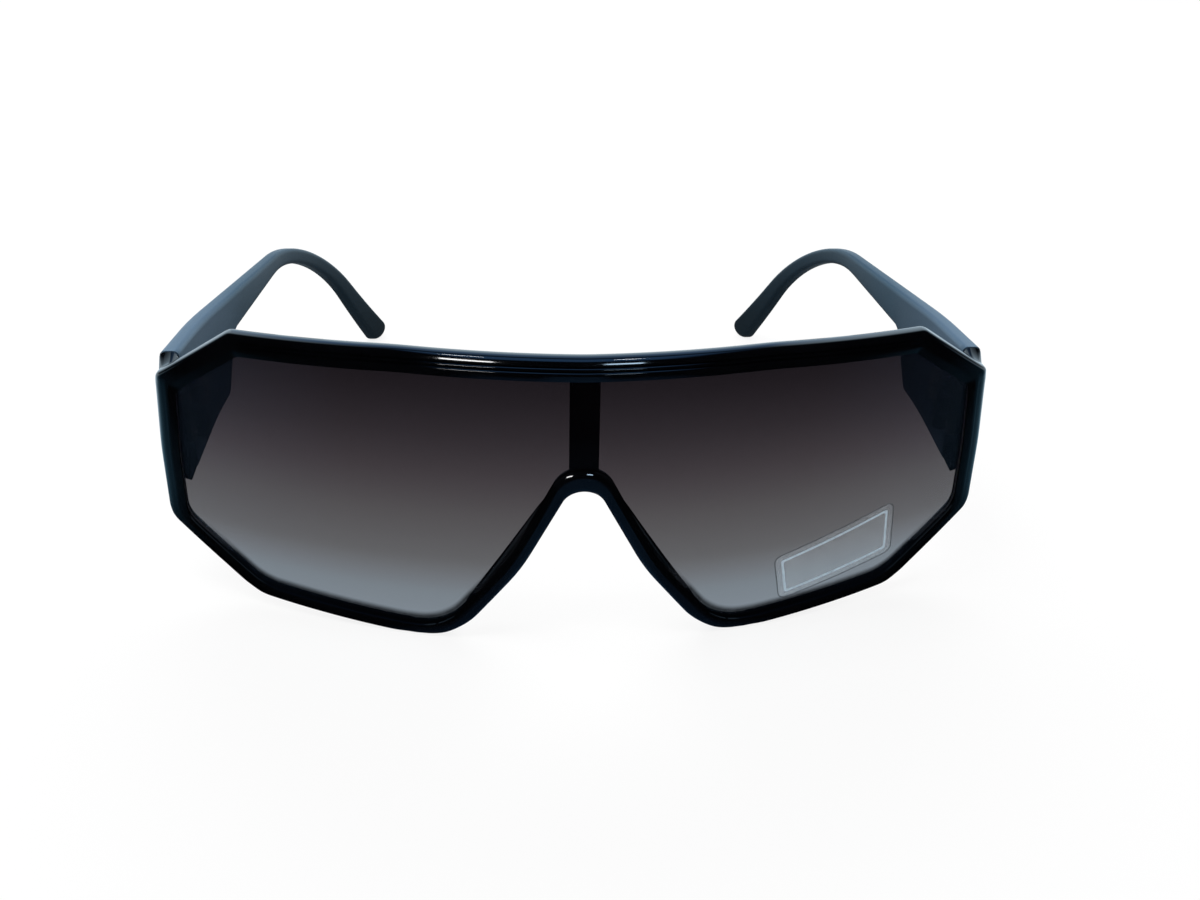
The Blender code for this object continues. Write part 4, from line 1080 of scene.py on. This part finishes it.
def dress(thing, coat):
    """Gives a piece its one material."""
    thing.data.materials.append(coat)


def dress_node(name, coat):
    """Gives a CAD node a material on its object, with its mesh left alone."""
    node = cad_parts[name]
    for slot in node.material_slots:
        slot.link = "OBJECT"
        slot.material = coat


gloss, satin, tint = gloss_black(), satin_black(), lens_tint()
nickel = brushed_metal("nickel_silver_rolled", (0.62, 0.58, 0.50), 0.28, (1.0, 0.06, 1.0))
steel = brushed_metal("turned_steel", (0.55, 0.55, 0.56), 0.24, (1.0, 1.0, 0.05))
film = film_clear()
printed = film_print("film_border", (0.60, 0.74, 0.84), 0.50)
film_edge = film_print("film_edge", (0.02, 0.03, 0.04), 0.45)

moulding = front()
dress(moulding, gloss)
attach(moulding, "front")
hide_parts("frame_front")

shield = lens()
dress(shield, tint)
shield.data.materials.append(ground_edge())
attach(shield, "front")
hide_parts("shield_lens")

left_arm = temple()
right_arm = mirror_copy(left_arm, "right_temple_moulding")
smooth(right_arm, MOULDING_SHARP)
for arm, body in ((left_arm, "temple_left"), (right_arm, "temple_right")):
    dress(arm, satin)
    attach(arm, body)
    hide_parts(body)

sheet = film_sheet("label_film")
dress(sheet, film)
border = film_line("label_film_border", BORDER_MARGIN, BORDER_WIDTH)
dress(border, printed)
edge = film_line("label_film_edge", EDGE_MARGIN, EDGE_WIDTH)
dress(edge, film_edge)
for piece in (sheet, border, edge):
    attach(piece, "front")

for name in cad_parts:
    if "screw" in name:
        dress_node(name, steel)
    elif "hinge" in name or "rivet" in name or "core" in name:
        dress_node(name, nickel)


# Floor, light and camera


FLOOR_HALF = 6.0
FLOOR_THICKNESS = 0.02
FLOOR_GLOW = 0.86
WORLD_LIGHT = 0.55

# What the moulding mirrors in the floor: soft pools in front of the nose arch and the nose flanks, a pale
# fringe at each side, and pale ground behind; spans in metres across (from the middle) and along
CREST_REACH = (0.007, 0.013)
FLANK_REACH = (0.024, 0.038)
FRINGE_REACH = (0.080, 0.115)
CREST_ALONG = (-0.15, -0.045)
FLANK_ALONG = (-0.11, -0.035)
FRINGE_ALONG = (-0.10, 0.02)
BEHIND_ALONG = (0.02, 0.20)
CREST_TONE = (0.028, 0.078, 0.155)
FLANK_TONE = (0.018, 0.048, 0.10)
BEHIND_TONE = (0.75, 0.92, 1.05)
CREST_POOL = ((0.08, grey(0.0)), (0.22, CREST_TONE), (0.80, CREST_TONE), (0.97, grey(0.0)))
FLANK_POOL = ((0.07, grey(0.0)), (0.30, FLANK_TONE), (0.75, FLANK_TONE), (0.95, grey(0.0)))
FRINGE_TONES = (
    (0.12, grey(0.0)),
    (0.45, (0.035, 0.10, 0.16)),
    (0.70, (0.12, 0.27, 0.38)),
    (1.00, (0.60, 0.80, 0.95)),
)

# What it mirrors in the sky: the middle from in front to behind, and the sides from beside to behind
SKY_SIDES = (0.22, 0.34)
SKY_STRIP = (0.25, 0.65, 1.40)
SKY_MIDDLE = (
    (0.080, grey(0.0)),
    (0.170, SKY_STRIP),
    (0.580, SKY_STRIP),
    (0.680, (0.03, 0.08, 0.16)),
    (0.880, (0.05, 0.12, 0.24)),
    (0.955, (0.30, 0.55, 0.95)),
    (0.985, (1.10, 1.40, 1.60)),
)
SKY_BESIDE = (
    (0.00, grey(0.0)),
    (0.35, (0.01, 0.02, 0.03)),
    (0.75, (0.75, 1.00, 1.20)),
    (1.00, (1.20, 1.50, 1.75)),
)


def lit_share(look):
    """One for camera rays, reflections and rays through glass, and one for reflections alone."""
    rays = look.nodes.new("ShaderNodeLightPath").outputs
    seen = look.math("MAXIMUM", rays["Is Camera Ray"], rays["Is Transmission Ray"])
    return look.math("MAXIMUM", seen, rays["Is Glossy Ray"]), rays["Is Glossy Ray"]


def pale_floor():
    """A floor that is white to the camera, dim and bluish in reflections, and keeps some soft shadow."""
    made, look, shader = material("pale_floor")
    look.fill(shader, {"Base Color": grey(0.80), "Roughness": 1.0, "Specular IOR Level": 0.0})
    seen, mirrored = lit_share(look)
    across, along, _ = look.parts(look.place())
    aside = look.math("ABSOLUTE", across)
    crest = look.ramp(look.spread(along, CREST_ALONG), CREST_POOL)
    flank = look.ramp(look.spread(along, FLANK_ALONG), FLANK_POOL)
    fringe = look.ramp(look.spread(along, FRINGE_ALONG), FRINGE_TONES)
    pools = look.mixed(look.spread(aside, CREST_REACH), crest, flank)
    pools = look.mixed(look.spread(aside, FLANK_REACH), pools, grey(0.0))
    ahead = look.mixed(look.spread(aside, FRINGE_REACH), pools, fringe)
    reflected = look.mixed(look.spread(along, BEHIND_ALONG), ahead, BEHIND_TONE)
    glow = look.add("ShaderNodeEmission", {"Color": look.mixed(mirrored, grey(0.985), reflected)})
    full = look.math("ADD", look.math("MULTIPLY", mirrored, 1 - FLOOR_GLOW), FLOOR_GLOW)
    share = look.math("MULTIPLY", seen, full)
    look.show(look.blend(share, shader.outputs["BSDF"], glow.outputs["Emission"]))
    return made


floor = block("floor", (-FLOOR_HALF, -FLOOR_HALF, -FLOOR_THICKNESS), (FLOOR_HALF, FLOOR_HALF, 0.0))
dress(floor, pale_floor())


def studio_world():
    """White to the camera; in reflections a blue strip overhead, dark round it, and pale far behind."""
    world = bpy.data.worlds.new("studio")
    bpy.context.scene.world = world
    look = Look(world)
    seen, mirrored = lit_share(look)
    across, along, _ = look.parts(look.place("Generated"))
    middle = look.ramp(look.spread(along, (-1.0, 1.0)), SKY_MIDDLE)
    sides = look.spread(look.math("ABSOLUTE", across), SKY_SIDES)
    sky = look.mixed(sides, middle, look.ramp(along, SKY_BESIDE))
    look.fill(look.nodes["Background"], {
        "Color": look.mixed(mirrored, grey(1.0), sky),
        "Strength": look.spread(seen, (0.0, 1.0), to=(WORLD_LIGHT, 1.0)),
    })


studio_world()


# Colours and targets of the lamps
WHITE, SKY_BLUE = grey(1.0), (0.55, 0.78, 1.0)
MIDDLE, CREST, BROW = (0.0, 0.0, 0.03), (0.0, -0.02, 0.03), (0.0, -0.07, 0.04)

# Name, place, target, width and height, power in watts, colour, and whether the gloss mirrors the lamp
LAMPS = (
    ("back_softbox", (0.0, 0.75, 0.62), MIDDLE, (1.1, 0.5), 9.0, WHITE, False),
    ("top_softbox", (-0.25, -0.1, 0.95), MIDDLE, (0.5, 0.5), 5.0, WHITE, False),
    ("near_light_left", (-0.056, -0.10, 0.24), CREST, (0.026, 0.005), 0.035, WHITE, True),
    ("near_light_right", (0.029, -0.10, 0.24), CREST, (0.016, 0.005), 0.022, WHITE, True),
    ("window_light_left", (-0.19, -0.60, 0.12), BROW, (0.10, 0.03), 0.30, WHITE, True),
    ("window_light_right", (0.092, -0.60, 0.12), BROW, (0.07, 0.03), 0.14, SKY_BLUE, True),
)


def lamp(name, place, target, sizes, power, colour, mirrored):
    """A soft area lamp aimed at a target."""
    data = bpy.data.lights.new(name, "AREA")
    data.shape = "RECTANGLE"
    data.size, data.size_y = sizes
    data.energy = power
    data.color = colour
    thing = bpy.data.objects.new(name, data)
    thing.location = place
    thing.rotation_euler = (Vector(target) - Vector(place)).to_track_quat("-Z", "Y").to_euler()
    thing.visible_glossy = mirrored
    bpy.context.scene.collection.objects.link(thing)


for row in LAMPS:
    lamp(*row)


# Camera as fitted to the photograph: place in mm, tilt down, turn about up and roll in degrees, and focal
# length and image width in pixels
CAMERA_PLACE = (-8.74, -228.52, 133.72)
CAMERA_TILT, CAMERA_YAW, CAMERA_ROLL = 30.125, 3.991, 1.397
CAMERA_FOCAL = 1129.2
IMAGE_WIDTH = 1200
SENSOR_WIDTH = 36.0
CLIP_START = 0.01


def add_camera():
    """The scene's camera."""
    data = bpy.data.cameras.new("camera")
    data.sensor_fit = "HORIZONTAL"
    data.sensor_width = SENSOR_WIDTH
    data.lens = CAMERA_FOCAL / IMAGE_WIDTH * SENSOR_WIDTH
    data.clip_start = CLIP_START
    camera = bpy.data.objects.new("camera", data)
    pitch, yaw, roll = (math.radians(angle) for angle in (CAMERA_TILT, CAMERA_YAW, CAMERA_ROLL))
    to_view = Matrix.Rotation(roll, 3, "Y") @ Matrix.Rotation(pitch, 3, "X") @ Matrix.Rotation(yaw, 3, "Z")
    from_view = to_view.transposed()
    right, forward, up = from_view.col
    turned = Matrix((right, up, -forward)).transposed()
    camera.matrix_world = Matrix.Translation(Vector(CAMERA_PLACE) * MM) @ turned.to_4x4()
    bpy.context.scene.collection.objects.link(camera)
    bpy.context.scene.camera = camera


add_camera()
bpy.context.scene.view_settings.view_transform = "Standard"
